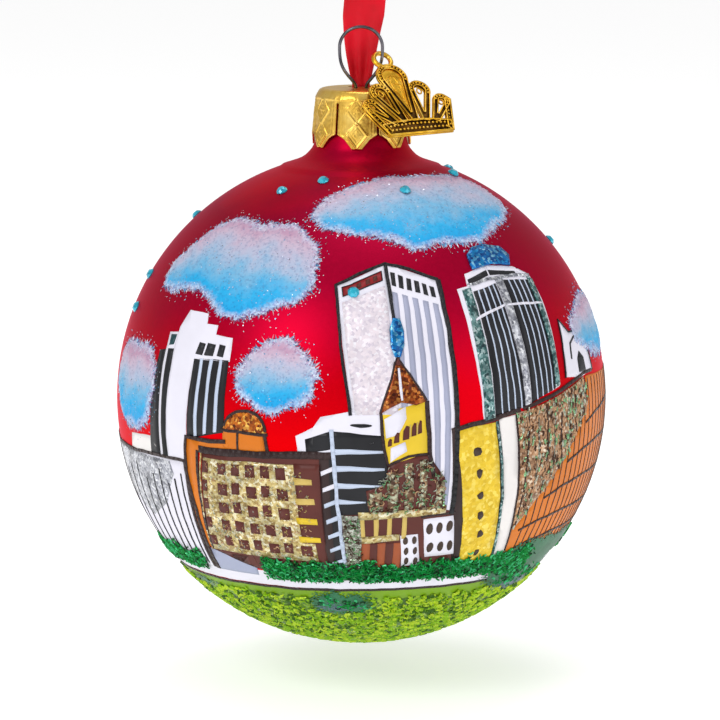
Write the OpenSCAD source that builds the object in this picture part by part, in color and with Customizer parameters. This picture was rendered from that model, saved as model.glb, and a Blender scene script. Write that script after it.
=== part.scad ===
// Hanging glass ball with a painted skyline, a stamped cap, a wire loop, a crown charm and a ribbon.
// Millimetres. The origin is the top of the ribbon loop, where it hangs. Z is up, the front is -Y.

/* [Glass ball] */
// outside diameter of the ball
ball_d = 83; // [50:1:120]
// thickness of the glass
glass_t = 0.9; // [0.6:0.1:1.5]
// height of the cap top above the ball centre
cap_above = 52.5; // [45:0.5:70]
// outside radius of the neck under the cap
neck_r = 6.85; // [6:0.05:8]

/* [Cap] */
// radius of the cap at its top
cap_r = 7.6; // [7:0.1:9]
// radius of the cap at the tips of its teeth
cap_foot_r = 8.4; // [8:0.1:10]
// height of the cap down to the tips of its teeth
cap_h = 9.6; // [8:0.1:11]
// thickness of the stamped metal
cap_t = 0.35; // [0.2:0.05:0.5]
// number of stamped panels round the cap
panels = 7; // [6:1:9]

/* [Wire hanger] */
// diameter of the wire
wire_d = 0.56; // [0.4:0.02:0.9]
// height of the loop above the cap
loop_h = 10.9; // [8:0.1:14]
// half width of the loop, to the middle of the wire
loop_w = 3.6; // [3:0.1:5]
// lean of the loop towards the front at rest
loop_lean = 12; // [0:1:15]
// depth of the spring legs below the cap top
leg_depth = 16; // [10:1:17]

/* [Crown charm] */
// width of the crown over its two tips
crown_w = 17.5; // [14:0.5:20]
// height of the crown from its foot to the top of the middle lobe
crown_h = 15.1; // [12:0.1:18]
// thickness of the casting
crown_t = 0.9; // [0.8:0.1:1.4]

/* [Ribbon] */
// width of the ribbon
ribbon_w = 7; // [5:0.5:10]
// thickness of the ribbon
ribbon_t = 0.35; // [0.25:0.05:0.6]
// height of the ribbon's hanging point above the cap
hang_above = 60; // [45:1:90]
// space between the two plies at mid height
ply_gap = 5; // [3.5:0.5:8]

/* [Glitter relief] */
// thickness of the raised glitter
relief = 0.45; // [0.3:0.05:0.8]
// diameter of a stone
gem_d = 2; // [1.5:0.1:3]

/* [Hidden] */
ball_r = ball_d / 2;
top_z = -hang_above;
ball_z = top_z - cap_above;
bore_r = neck_r - glass_t;
split_z = 12.3;
slot_y = 2.3;

// puts the children on the ball at a longitude (0 is the front) and a latitude, pointing out
module at(lon, lat) {
    translate([0, 0, ball_z]) rotate([90 - lat, 0, lon]) children();
}

// a shell that lies just off the glass
module skin(low, high) {
    translate([0, 0, ball_z]) difference() {
        sphere(r = ball_r + high, $fn = 96);
        sphere(r = ball_r + low, $fn = 96);
    }
}

// a raised patch with an outline made of round lobes, each [east, north, radius]
module patch(lon, lat, lobes) {
    intersection() {
        skin(0.03, relief);
        at(lon, lat) linear_extrude(height = ball_r + 5) for (l = lobes)
            translate([l[0], l[1]]) circle(r = l[2], $fn = 48);
    }
}

// a sweep along points with a cross-section per point; every ring has the same count
module sweep(rings) {
    n = len(rings);
    m = len(rings[0]);
    pts = [for (r = rings) for (p = r) p];
    sides = [for (i = [0 : n - 2]) for (j = [0 : m - 1])
        [i * m + j, i * m + (j + 1) % m, (i + 1) * m + (j + 1) % m, (i + 1) * m + j]];
    tri = [for (s = sides) for (k = [0, 1]) k == 0 ? [s[0], s[1], s[2]] : [s[0], s[2], s[3]]];
    cap0 = [for (j = [1 : m - 2]) [0, j + 1, j]];
    cap1 = [for (j = [1 : m - 2]) [(n - 1) * m, (n - 1) * m + j, (n - 1) * m + j + 1]];
    polyhedron(points = pts, faces = concat(tri, cap0, cap1), convexity = 6);
}

// ---- glass ball ----
neck_outer = [[neck_r, cap_above - 1.0], [neck_r, 46.4], [7.1, 45.6], [7.45, 44.8], [7.7, 44.0],
    [7.9, 43.1], [8.3, 42.4], [8.8, 41.8], [9.5, 41.1], [10.5, 40.55], [11.9, 40.05], [13.3, 39.7],
    [14.4, 38.7]];
module glass_ball() {
    color([0.78, 0.03, 0.06]) translate([0, 0, ball_z]) difference() {
        union() {
            sphere(r = ball_r, $fn = 96);
            rotate_extrude($fn = 96)
                polygon(concat([[0, 38], [0, cap_above - 1.0]], neck_outer, [[14.4, 38]]));
        }
        sphere(r = ball_r - glass_t, $fn = 96);
        translate([0, 0, 30]) cylinder(r = bore_r, h = 30, $fn = 64);
    }
}

// ---- stamped cap ----
module cap_profile(d) {
    rotate_extrude($fn = 84) polygon([
        [0, -cap_t - d], [cap_r - 1.3 - d, -cap_t - d], [cap_r - 0.7 - d, -0.75 - d],
        [cap_r - cap_t - d, -1.5 - d],
        [cap_foot_r - cap_t - d, -cap_h], [cap_foot_r, -cap_h], [cap_r, -1.35], [cap_r - 0.45, -0.42],
        [cap_r - 1.25, 0], [0, 0]]);
}
module panel_cut(a) {
    rotate([0, 0, a]) {
        // the gap between two teeth
        rotate([90, 0, 0]) linear_extrude(height = 12)
            polygon([[-3.6, -cap_h - 1], [-3.4, -cap_h + 0.9], [-1.3, -cap_h + 1.7], [0, -cap_h + 2.1],
                [1.3, -cap_h + 1.7], [3.4, -cap_h + 0.9], [3.6, -cap_h - 1]]);
        // the slit above it
        translate([-0.22, -12, -cap_h + 2.9]) cube([0.44, 12, 4.6]);
    }
}
module diamond(a) {
    rotate([0, 0, a]) rotate([90, 0, 0]) linear_extrude(height = 12)
        polygon([[0, -8.6], [1.9, -6.1], [0, -3.6], [-1.9, -6.1]]);
}
module cap() {
    color([0.86, 0.66, 0.22]) translate([0, 0, top_z]) difference() {
        union() {
            cap_profile(0);
            intersection() {
                difference() {
                    translate([0, 0, -9])
                        cylinder(r1 = cap_foot_r + 0.13, r2 = cap_r + 0.2, h = 7.6, $fn = 84);
                    translate([0, 0, -9.5])
                        cylinder(r1 = cap_foot_r - 0.15, r2 = cap_r - 0.13, h = 8.6, $fn = 84);
                }
                union() for (i = [0 : panels - 1]) diamond(-5 + i * 360 / panels);
            }
        }
        for (i = [0 : panels - 1]) panel_cut(-5 + (i + 0.5) * 360 / panels);
        // two holes for the wire and a slot for the ribbon
        for (s = [-1, 1]) translate([s * 0.85, 0, -3]) cylinder(d = 1.1, h = 4, $fn = 32);
        translate([-2.1, slot_y - 0.75, -3]) cube([4.2, 1.5, 4]);
    }
}

// ---- wire hanger ----
lean_v = [0, -sin(loop_lean), cos(loop_lean)];
function on_loop(x, h) = [x, lean_v[1] * h, lean_v[2] * h];
loop_r = loop_w;
loop_c = loop_h - wire_d / 2 - loop_r;
half_path = concat(
    [[3.9, 1.5, -leg_depth + 0.8], [3.6, 1.35, -leg_depth + 0.1], [3.2, 1.2, -leg_depth + 0.6],
     [2.7, 1.05, -leg_depth + 3], [1.9, 0.7, -9], [1.2, 0.3, -5], [0.88, 0.08, -2], [0.85, 0, -0.4]],
    [on_loop(0.95, 0.5), on_loop(1.45, 1.25), on_loop(2.3, 2.3), on_loop(2.95, 3.3), on_loop(3.36, 4.4),
     on_loop(3.55, 5.6)],
    [for (a = [0 : 12 : 84]) on_loop(loop_r * cos(a), loop_c + loop_r * sin(a))]);
wire_path = concat(half_path, [on_loop(0, loop_c + loop_r)],
    [for (i = [len(half_path) - 1 : -1 : 0]) [-half_path[i][0], half_path[i][1], half_path[i][2]]]);
function unit(v) = v / norm(v);
function tangent(p, i) = unit(p[min(i + 1, len(p) - 1)] - p[max(i - 1, 0)]);
wire_rings = [for (i = [0 : len(wire_path) - 1]) let (t = tangent(wire_path, i),
    s = unit(cross([0, 1, 0.05], t)), u = cross(t, s))
    [for (k = [0 : 9]) wire_path[i] + wire_d / 2 * (cos(k * 36) * s + sin(k * 36) * u)]];
module hanger_wire() {
    color([0.45, 0.45, 0.48]) translate([0, 0, top_z]) sweep(wire_rings);
}

// ---- crown charm, drawn flat with its foot on y = 0 and its ring at the top ----
ring_y = crown_h + 1.15;
// a drop outline: a round top of width w at height l, running down to a foot of width b
function drop(w, l, b, foot) = concat([[b / 2, foot]],
    [for (t = [-24 : 12 : 204]) [w / 2 * cos(t), l - w / 2 + w / 2 * sin(t)]], [[-b / 2, foot]]);
module lobe(x, y, a, w, l) {
    translate([x, y]) rotate(a) difference() {
        polygon(drop(w, l, 1.1, 0));
        polygon(drop(w - 1.75, l - 0.88, 0.2, 2.1));
    }
}
module crown_flat() {
    difference() {
        union() {
            // foot band, slightly arched
            polygon([[-6.3, 0], [6.3, 0], [6.9, 2.2], [3.5, 2.75], [0, 2.95], [-3.5, 2.75], [-6.9, 2.2]]);
            lobe(0, 2.3, 0, 5.6, crown_h - 2.3);
            for (s = [0, 1]) mirror([s, 0]) {
                // sloping side
                polygon([[5.6, 0.6], [6.3, 0], [8.75, 6.5], [8.3, 7.1], [7.75, 6.8]]);
                lobe(2, 2.2, -15, 4, 9.1);
                lobe(3.7, 2, -37, 3.1, 7);
            }
            translate([0, ring_y]) circle(r = 1.95, $fn = 48);
        }
        translate([0, ring_y]) circle(r = 1.15, $fn = 40);
    }
}
// the charm's own axes, as columns: across, out of its back, up
cx = unit([0.81, 0.52, 0.02]);
cz0 = [-0.371, 0.65, 0.722];
cz = unit(cz0 - (cz0 * cx) * cx);
cy = cross(cz, cx);
// the ring hangs a little below the middle of the wire that passes through it
ring_at = on_loop(3.45, 5) - 0.3 * cz;
module crown_charm() {
    o = ring_at - ring_y * cz;
    color([0.72, 0.52, 0.14]) translate([0, 0, top_z])
        multmatrix([[cx[0], cy[0], cz[0], o[0]], [cx[1], cy[1], cz[1], o[1]],
            [cx[2], cy[2], cz[2], o[2]], [0, 0, 0, 1]])
        rotate([90, 0, 0]) translate([0, 0, -crown_t / 2]) {
            linear_extrude(height = crown_t) crown_flat();
        }
}

// ---- ribbon ----
// middle line of one ply, height above the cap -> depth; the front ply is s = -1
function ply_y(s, h) = let (f = min(1, max(0, (h - split_z) / 26)), g = f * f * (3 - 2 * f))
    (3.4 + s * 1.55) * (1 - g) + (s * ply_gap / 2) * g;
bow_r = ply_gap / 2;
bow_h = hang_above + ribbon_t / 2 - bow_r;
function ply_h(k) = split_z + k * (bow_h - split_z) / 22;
ribbon_line = concat(
    [for (k = [0 : 22]) [ply_y(-1, ply_h(k)), ply_h(k)]],
    [for (a = [165 : -15 : 15]) [bow_r * cos(a), bow_h + bow_r * sin(a)]],
    [for (k = [22 : -1 : 0]) [ply_y(1, ply_h(k)), ply_h(k)]]);
function strip(line, wd, th) = [for (i = [0 : len(line) - 1]) let (
    a = line[max(i - 1, 0)], b = line[min(i + 1, len(line) - 1)], t = (b - a) / norm(b - a),
    n = [-t[1], t[0]], c = line[i], w = wd[i] / 2, q = th / 2)
    [[-w, c[0] - n[0] * q, c[1] - n[1] * q], [w, c[0] - n[0] * q, c[1] - n[1] * q],
     [w, c[0] + n[0] * q, c[1] + n[1] * q], [-w, c[0] + n[0] * q, c[1] + n[1] * q]]];
module ribbon() {
    color([0.8, 0.05, 0.07]) translate([0, 0, top_z])
        sweep(strip(ribbon_line, [for (p = ribbon_line) ribbon_w], ribbon_t));
}
tail_h = [12, 11, 10, 9, 8, 7, 6, 5, 4, 3, 2, 1, 0, -1, -2, -3.4];
function tail_w(h) = h > 0.8 ? 3 + (ribbon_w - 3) * pow((h - 0.8) / (12 - 0.8), 0.75) : 3;
function tail_y(s, h) = slot_y + s * 0.27 + (3.4 + s * 1.55 - slot_y - s * 0.27) * max(0, h) / 12;
module ribbon_tails() {
    color([0.72, 0.04, 0.06]) translate([0, 0, top_z]) {
        for (s = [-1, 1])
            sweep(strip([for (h = tail_h) [tail_y(s, h), h]], [for (h = tail_h) tail_w(h)], ribbon_t));
        translate([0, slot_y + 0.1, -4.6]) sphere(r = 1.7, $fn = 24);
    }
}

// ---- stones: [longitude, latitude], and 1 where the stone sits on a cloud ----
gem_at = [[-42, 62, 0], [-23, 67.5, 0], [-84, 31, 0], [-80, 23, 0], [70, 67, 1], [22, 62.5, 1], [118, 66, 0],
    [150, 55, 0], [-170, 66, 0], [-130, 60, 0], [-100, 47, 0], [97, 39, 0], [172, 40, 0], [-150, 33, 1],
    [-109, 22, 0], [128, 30, 0], [-2, 33, 0]];
module sky_gems() {
    color([0.1, 0.62, 0.72]) for (g = gem_at) at(g[0], g[1])
        translate([0, 0, ball_r + 0.02 + relief * g[2]])
            cylinder(r1 = gem_d / 2, r2 = gem_d / 3.6, h = 0.7, $fn = 8);
}

// ---- glitter clouds ----
cloud_col = [0.72, 0.86, 0.93];
module cloud_upper_left() {
    color(cloud_col) patch(-40, 38.5, [[0, 0.5, 7.2], [-7.5, 1.2, 6.2], [7.2, 0.4, 6.8], [-13.5, -1.4, 4.2],
        [12.2, -1, 4.6], [4.4, -4.6, 5.4], [6.5, 5, 4.6], [-4, 5.2, 4.6], [10.4, 3.6, 4.2]]);
}
module cloud_top() {
    color(cloud_col) patch(22, 55, [[0, 1, 7.6], [-7.5, 1.4, 6], [-13, 3, 3.6], [-15.8, 3.6, 2.2],
        [8.2, 1.8, 7.2], [15, 5, 5.6], [1.5, 5, 5], [8, 6.8, 4.9], [14.5, 10.5, 4.6], [-3, 5, 5.2],
        [-9.6, 4.6, 4], [-1, -3.6, 4.4], [19, 8.5, 3.4], [7, -2.4, 4.6]]);
}
module cloud_left() {
    color(cloud_col) patch(-67, 6.5, [[0, 0, 5], [-4.5, 1.5, 4.6], [4, 1.5, 3.8], [-3, 2.5, 4.2],
        [3.5, 2.7, 3.9], [-2, -2.5, 4.2], [3.2, -2.8, 3.8]]);
}
module cloud_middle() {
    color(cloud_col) patch(-19.7, 13.2, [[0, 0, 4.6], [-3.6, -0.6, 3.6], [3.6, -0.3, 3.4],
        [0.4, 2.6, 3.4], [-0.6, -2.4, 3.4]]);
}
module cloud_right() {
    color(cloud_col) patch(80, 18.5, [[0, 0, 5.2], [-6.2, 0.6, 3.8], [-10, 0.8, 2.6], [6.6, 1, 4.4],
        [-2, 1.8, 4]]);
}
module cloud_back_left() {
    color(cloud_col) patch(-135, 34, [[0, 0, 6.2], [-7.6, -1, 5], [7.4, -0.6, 5.2], [1.6, 4.8, 4.4],
        [13, -2, 3.4]]);
}
module cloud_back_right() {
    color(cloud_col) patch(128, 42, [[0, 0, 6], [-7, -1.4, 4.8], [7.4, 0.8, 5.2], [0, 4.8, 4.2],
        [-12, -2, 3.2]]);
}
module cloud_back_top() {
    color(cloud_col) patch(178, 16, [[0, 0, 5.2], [-6.2, -0.8, 4.2], [6.2, -0.4, 4.4], [0.6, 4, 3.8]]);
}

// ---- glitter hedges along the street, and the lawn ----
module hedge(lon0, lon1, lat0, lat1) {
    a = ball_r + 0.03;
    b = ball_r + relief + 0.15;
    color([0.05, 0.5, 0.22]) translate([0, 0, ball_z]) rotate([0, 0, lon0 - 90])
        rotate_extrude(angle = lon1 - lon0, $fn = 96)
        polygon(concat([for (t = [0 : 4]) let (l = lat0 + t * (lat1 - lat0) / 4) [b * cos(l), b * sin(l)]],
            [for (t = [4 : -1 : 0]) let (l = lat0 + t * (lat1 - lat0) / 4) [a * cos(l), a * sin(l)]]));
}
module hedge_front() {
    hedge(-28, 66, -36.5, -32.5);
}
module hedge_left() {
    hedge(-76, -46, -36.5, -31.5);
}
module hedge_back() {
    hedge(84, 268, -36.5, -32);
}
module lawn() {
    color([0.55, 0.75, 0.1]) intersection() {
        skin(0.03, relief);
        translate([0, 0, ball_z - 60]) cylinder(r = 60, h = 60 - 28.8, $fn = 96);
    }
}

glass_ball();
cap();
hanger_wire();
crown_charm();
ribbon();
ribbon_tails();
sky_gems();
cloud_upper_left();
cloud_top();
cloud_left();
cloud_middle();
cloud_right();
cloud_back_left();
cloud_back_right();
cloud_back_top();
hedge_front();
hedge_left();
hedge_back();
lawn();
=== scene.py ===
import math
import random

import bmesh
import bpy
from mathutils import Matrix, Vector, noise


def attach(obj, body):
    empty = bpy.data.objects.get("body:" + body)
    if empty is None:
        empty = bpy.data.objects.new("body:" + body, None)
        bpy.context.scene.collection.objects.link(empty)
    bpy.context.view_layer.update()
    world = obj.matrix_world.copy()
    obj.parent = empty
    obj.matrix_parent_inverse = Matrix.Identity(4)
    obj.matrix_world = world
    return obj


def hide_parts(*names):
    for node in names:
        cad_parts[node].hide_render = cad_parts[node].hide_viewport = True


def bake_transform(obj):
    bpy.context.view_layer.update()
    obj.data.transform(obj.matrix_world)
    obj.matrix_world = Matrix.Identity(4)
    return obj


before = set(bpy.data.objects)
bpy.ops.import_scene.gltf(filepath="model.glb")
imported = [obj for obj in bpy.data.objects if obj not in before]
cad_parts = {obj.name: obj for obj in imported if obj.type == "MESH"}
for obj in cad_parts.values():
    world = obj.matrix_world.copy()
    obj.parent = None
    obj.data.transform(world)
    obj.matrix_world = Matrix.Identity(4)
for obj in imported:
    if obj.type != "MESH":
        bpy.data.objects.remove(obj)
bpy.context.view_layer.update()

# ---------------------------------------------------------------- sizes, in metres
MM = 0.001
SUNK = -0.02  # mm: a foot this far in the glass leaves no gap under a piece
TOP = -0.060  # cap top
BALL = Vector((0, 0, -0.1125))
R = 0.0415
HANG = 0.060
GLASS = 0.0009  # wall of the ball
rng = random.Random(20)

# ---------------------------------------------------------------- camera, light, floor
cam_data = bpy.data.cameras.new("camera")
cam = bpy.data.objects.new("camera", cam_data)
bpy.context.collection.objects.link(cam)
bpy.context.scene.camera = cam
bpy.context.scene.view_settings.view_transform = "Standard"
ELEV = math.radians(9.5)
DIST = 0.670
back = Vector((0, -math.cos(ELEV), math.sin(ELEV)))
cam.location = BALL + back * DIST
cam.rotation_mode = "QUATERNION"
cam.rotation_quaternion = (-back).to_track_quat("-Z", "Y")
cam_data.sensor_width = 36
cam_data.lens = 196.6
cam_data.shift_x = -0.0014
cam_data.shift_y = 0.0493
cam_data.clip_start, cam_data.clip_end = 0.05, 20


def cosd(a):
    return math.cos(math.radians(a))


def sind(a):
    return math.sin(math.radians(a))


def srgb(r, g, b):
    return tuple(((c / 255 + 0.055) / 1.055) ** 2.4 if c > 10 else c / 255 / 12.92
                 for c in (r, g, b)) + (1.0,)


def area_light(name, loc, aim, size, power):
    data = bpy.data.lights.new(name, "AREA")
    data.energy, data.size = power, size
    ob = bpy.data.objects.new(name, data)
    ob.location = loc
    ob.rotation_mode = "QUATERNION"
    ob.rotation_quaternion = (Vector(aim) - Vector(loc)).to_track_quat("-Z", "Y")
    bpy.context.collection.objects.link(ob)


world = bpy.data.worlds.new("studio")
bpy.context.scene.world = world
world.use_nodes = True
sky = world.node_tree.nodes["Background"]
sky.inputs[0].default_value = (1, 1, 1, 1)
seen = world.node_tree.nodes.new("ShaderNodeLightPath")
level = world.node_tree.nodes.new("ShaderNodeMapRange")
level.inputs["To Min"].default_value = 0.52  # as a light
level.inputs["To Max"].default_value = 1.0  # as the plain white behind the object
world.node_tree.links.new(seen.outputs["Is Camera Ray"], level.inputs["Value"])
world.node_tree.links.new(level.outputs[0], sky.inputs[1])
area_light("key", (-0.5, -0.62, 0.42), BALL, 0.42, 3.2)
area_light("fill", (0.62, -0.45, 0.12), BALL, 0.5, 1.2)
area_light("overhead", (0.05, 0.1, 0.75), BALL, 0.5, 2.2)


# ---------------------------------------------------------------- materials
def nodes_of(name):
    m = bpy.data.materials.new(name)
    m.use_nodes = True
    t = m.node_tree
    return m, t, t.nodes["Principled BSDF"]


def new(t, kind, **kw):
    n = t.nodes.new(kind)
    for k, v in kw.items():
        setattr(n, k, v)
    return n


def settings(node, values):
    for key, value in values.items():
        node.inputs[key].default_value = value


def ramp(t, stops):
    n = t.nodes.new("ShaderNodeValToRGB")
    e = n.color_ramp.elements
    while len(e) < len(stops):
        e.new(0.5)
    for el, (p, c) in zip(e, stops):
        el.position, el.color = p, c
    return n


def obj_noise(t, scale, detail=3.0, rough=0.55):
    co = new(t, "ShaderNodeTexCoord")
    n = new(t, "ShaderNodeTexNoise")
    settings(n, {"Scale": scale, "Detail": detail, "Roughness": rough})
    t.links.new(co.outputs["Object"], n.inputs["Vector"])
    return n


def bump(t, p, src, strength, dist):
    b = new(t, "ShaderNodeBump")
    settings(b, {"Strength": strength, "Distance": dist})
    t.links.new(src, b.inputs["Height"])
    t.links.new(b.outputs["Normal"], p.inputs["Normal"])
    return b


def mix_rgb(t, fac, a, b, kind="MIX"):
    m = new(t, "ShaderNodeMix", data_type="RGBA", blend_type=kind)
    for sock, v in ((m.inputs[0], fac), (m.inputs[6], a), (m.inputs[7], b)):
        if hasattr(v, "node"):
            t.links.new(v, sock)
        else:
            sock.default_value = v
    return m.outputs[2]


def rough_from(t, p, src, low, high):
    m = new(t, "ShaderNodeMapRange")
    settings(m, {"To Min": low, "To Max": high})
    t.links.new(src, m.inputs["Value"])
    t.links.new(m.outputs[0], p.inputs["Roughness"])


_paints = {}  # every material is made once


def paint(key, col, rough=0.42, vary=0.12):
    """brushed acrylic: faint streaks, uneven cover and a soft sheen"""
    if key in _paints:
        return _paints[key]
    m, t, p = nodes_of(key)
    col = srgb(*col)
    n = obj_noise(t, 900, 4, 0.6)
    n2 = obj_noise(t, 140, 3)
    dark = tuple(c * (1 - vary) for c in col[:3]) + (1,)
    light = tuple(min(1, c * (1 + vary * 0.6) + vary * 0.02) for c in col[:3]) + (1,)
    r = ramp(t, [(0.32, dark), (0.68, light)])
    t.links.new(n2.outputs["Fac"], r.inputs[0])
    t.links.new(r.outputs[0], p.inputs["Base Color"])
    rough_from(t, p, n.outputs["Fac"], rough - 0.06, rough + 0.12)
    bump(t, p, n.outputs["Fac"], 0.25, 0.00004)
    settings(p, {"Specular IOR Level": 0.3, "Coat Weight": 0.05, "Coat Roughness": 0.25})
    _paints[key] = m
    return m


def glitter(key, cols, scale=2600, rough=0.3, metal=0.35, shade=0.5):
    """glitter set in clear gel: every cell of the pattern is one flake with its own tint and tilt"""
    if key in _paints:
        return _paints[key]
    m, t, p = nodes_of(key)
    co = new(t, "ShaderNodeTexCoord")
    v = new(t, "ShaderNodeTexVoronoi", feature="F1")
    v.inputs["Scale"].default_value = scale
    t.links.new(co.outputs["Object"], v.inputs["Vector"])
    sep = new(t, "ShaderNodeSeparateColor")
    t.links.new(v.outputs["Color"], sep.inputs[0])
    r = ramp(t, [(i / (len(cols) - 1), srgb(*c)) for i, c in enumerate(cols)])
    t.links.new(sep.outputs[0], r.inputs[0])
    n = obj_noise(t, 420, 4, 0.6)
    cover = ramp(t, [(0.35, (shade, shade, shade, 1)), (0.62, (1, 1, 1, 1))])
    t.links.new(n.outputs["Fac"], cover.inputs[0])
    t.links.new(mix_rgb(t, 1.0, r.outputs[0], cover.outputs[0], "MULTIPLY"), p.inputs["Base Color"])
    rough_from(t, p, sep.outputs[1], rough - 0.14, rough + 0.25)
    add = new(t, "ShaderNodeMath", operation="ADD")
    t.links.new(sep.outputs[2], add.inputs[0])
    t.links.new(n.outputs["Fac"], add.inputs[1])
    bump(t, p, add.outputs[0], 0.7, 0.00012)
    settings(p, {"Metallic": metal, "Specular IOR Level": 0.3, "Coat Weight": 0.12, "Coat Roughness": 0.12})
    _paints[key] = m
    return m


def flake_mat(key, col, metal, rough):
    """loose glitter of one colour"""
    if key in _paints:
        return _paints[key]
    m, t, p = nodes_of(key)
    col = srgb(*col)
    n = obj_noise(t, 2200, 2)
    r = ramp(t, [(0.3, tuple(c * 0.7 for c in col[:3]) + (1,)), (0.7, col)])
    t.links.new(n.outputs["Fac"], r.inputs[0])
    t.links.new(r.outputs[0], p.inputs["Base Color"])
    settings(p, {"Metallic": metal, "Roughness": rough, "Specular IOR Level": 0.3, "Coat Weight": 0.08})
    _paints[key] = m
    return m


WHITE = paint("paint_white", (226, 224, 236), vary=0.05)
WARM_WHITE = paint("paint_cream", (232, 228, 226), vary=0.05)
BLACK = paint("paint_black", (14, 15, 22), 0.4, 0.3)
OUTLINE = paint("paint_outline", (46, 26, 26), 0.42, 0.25)
PALE = paint("paint_pale_blue", (192, 204, 226), vary=0.08)
GREY = paint("paint_grey", (160, 164, 188), vary=0.08)
YELLOW = paint("paint_yellow", (226, 192, 40), vary=0.08)
ORANGE = paint("paint_orange", (208, 112, 0), vary=0.1)
BROWN = paint("paint_brown", (88, 34, 26), vary=0.15)
RUST = paint("paint_rust", (158, 78, 40), vary=0.12)
DKRED = paint("paint_dark_red", (140, 22, 26), vary=0.12)
TAN = paint("paint_tan", (206, 178, 96), vary=0.1)
WINDOW = paint("paint_window", (62, 44, 34), 0.4, 0.2)
TEAL = paint("paint_teal", (20, 66, 72), 0.36, 0.2)
PATCH = paint("paint_street_grey", (160, 166, 192), vary=0.06)
LIME = paint("paint_lime", (118, 160, 8), vary=0.12)
MURK = paint("paint_shade_green", (26, 104, 66), vary=0.3)
SLATE = paint("paint_shade_slate", (76, 96, 112), vary=0.2)

G_PEARL = glitter("glitter_pearl", [(206, 196, 210), (226, 216, 226), (234, 222, 230), (244, 242, 250)],
                  2200, 0.45, 0.05, shade=0.86)
G_CREAM = glitter("glitter_cream", [(150, 122, 70), (206, 184, 118), (222, 206, 150), (244, 240, 214)], 2300)
G_BROWN = glitter("glitter_brown", [(70, 40, 30), (120, 86, 62), (168, 152, 120), (214, 224, 196)], 2300)
G_TANB = glitter("glitter_sand", [(112, 74, 46), (170, 122, 84), (204, 158, 118), (236, 220, 196)], 2300)
G_BRONZE = glitter("glitter_bronze", [(90, 36, 8), (170, 80, 14), (214, 118, 24), (252, 196, 90)], 2300,
                   0.25, 0.6)
G_BLUE = glitter("glitter_blue", [(4, 62, 130), (10, 110, 190), (24, 150, 216), (150, 216, 246)], 2100,
                 0.25, 0.55)
G_COPPER = glitter("glitter_copper", [(84, 30, 8), (134, 54, 12), (168, 78, 20), (226, 150, 70)], 2300,
                   0.25, 0.6)
G_TEAL = glitter("glitter_teal", [(40, 70, 76), (60, 112, 110), (120, 160, 160), (206, 226, 226)], 2400)
G_SILVER = glitter("glitter_silver", [(120, 122, 134), (170, 172, 182), (204, 206, 214), (244, 246, 250)],
                   2400)
G_YELLOW = glitter("glitter_yellow", [(214, 178, 26), (226, 190, 34), (232, 198, 46), (244, 220, 100)],
                   1800, 0.4, 0.05, shade=0.88)
G_GREEN = glitter("glitter_green", [(0, 44, 20), (0, 78, 34), (2, 108, 50), (20, 150, 80)], 2200, 0.3, 0.3)
G_LIME = glitter("glitter_lime", [(44, 84, 6), (84, 132, 8), (118, 164, 14), (176, 210, 40)], 1900, 0.3, 0.2)
G_GREY = glitter("glitter_grey", [(84, 76, 66), (134, 130, 116), (176, 176, 160), (226, 232, 220)], 2300)


# ---------------------------------------------------------------- drawing on the ball
def outward(lon, lat):
    a, b = math.radians(lon), math.radians(lat)
    return Vector((math.sin(a) * math.cos(b), -math.cos(a) * math.cos(b), math.sin(b)))


def on_ball(lon, lat, h=0.0):
    """longitude 0 is the front; h is the height over the glass in mm"""
    return BALL + outward(lon, lat) * (R + h * MM)


def frame_at(lon, lat):
    """the directions out of the ball, east and north"""
    d = outward(lon, lat)
    e = Vector((cosd(lon), sind(lon), 0))
    return d, e, d.cross(e)


def oval(x, y, rx, ry, step):
    return [(x + rx * cosd(a), y + ry * sind(a)) for a in range(0, 360, step)]


def wob(lon, lat, amp=0.22):
    """a hand-held brush: the same slow waver everywhere, so neighbours stay joined"""
    v = Vector((lon * 0.23, lat * 0.23, 3.1))
    w = Vector((lon * 0.23, lat * 0.23, 9.7))
    fine = Vector((lon * 0.9, lat * 0.9, 5.5))
    return (lon + amp * (noise.noise(v) + 0.35 * noise.noise(fine)) / max(0.3, cosd(lat)),
            lat + amp * (noise.noise(w) + 0.35 * noise.noise(fine + Vector((4, 4, 4)))))


def link_object(name, me, mats):
    for m in mats:
        me.materials.append(m)
    ob = bpy.data.objects.new(name, me)
    bpy.context.collection.objects.link(ob)
    return ob


def link_bmesh(name, bm, mats):
    me = bpy.data.meshes.new(name)
    bm.to_mesh(me)
    bm.free()
    return link_object(name, me, mats)


def grid_faces(rows, cols):
    """the quads of a grid with cols + 1 points in each row"""
    starts = [j * (cols + 1) + i for j in range(rows) for i in range(cols)]
    return [[a, a + 1, a + cols + 2, a + cols + 1] for a in starts]


def link_mesh(name, verts, faces, mats, idx=None, smooth=False):
    me = bpy.data.meshes.new(name)
    me.from_pydata(verts, [], faces)
    ob = link_object(name, me, mats)
    if idx:
        me.polygons.foreach_set("material_index", idx)
    if smooth:
        me.polygons.foreach_set("use_smooth", [True] * len(faces))
    me.update()
    return ob


STEP = 2.6  # degrees between the cuts that let a flat area follow the ball


def cut_up(part, pts):
    """cuts across a flat area every STEP degrees, both ways"""
    for ax in (0, 1):
        lo, hi = min(p[ax] for p in pts), max(p[ax] for p in pts)
        c = math.floor(lo / STEP) * STEP + STEP
        while c < hi - 0.05:
            co, no = Vector((0, 0, 0)), Vector((0, 0, 0))
            co[ax], no[ax] = c, 1
            bmesh.ops.bisect_plane(part, geom=part.verts[:] + part.edges[:] + part.faces[:],
                                   plane_co=co, plane_no=no)
            c += STEP


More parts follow.
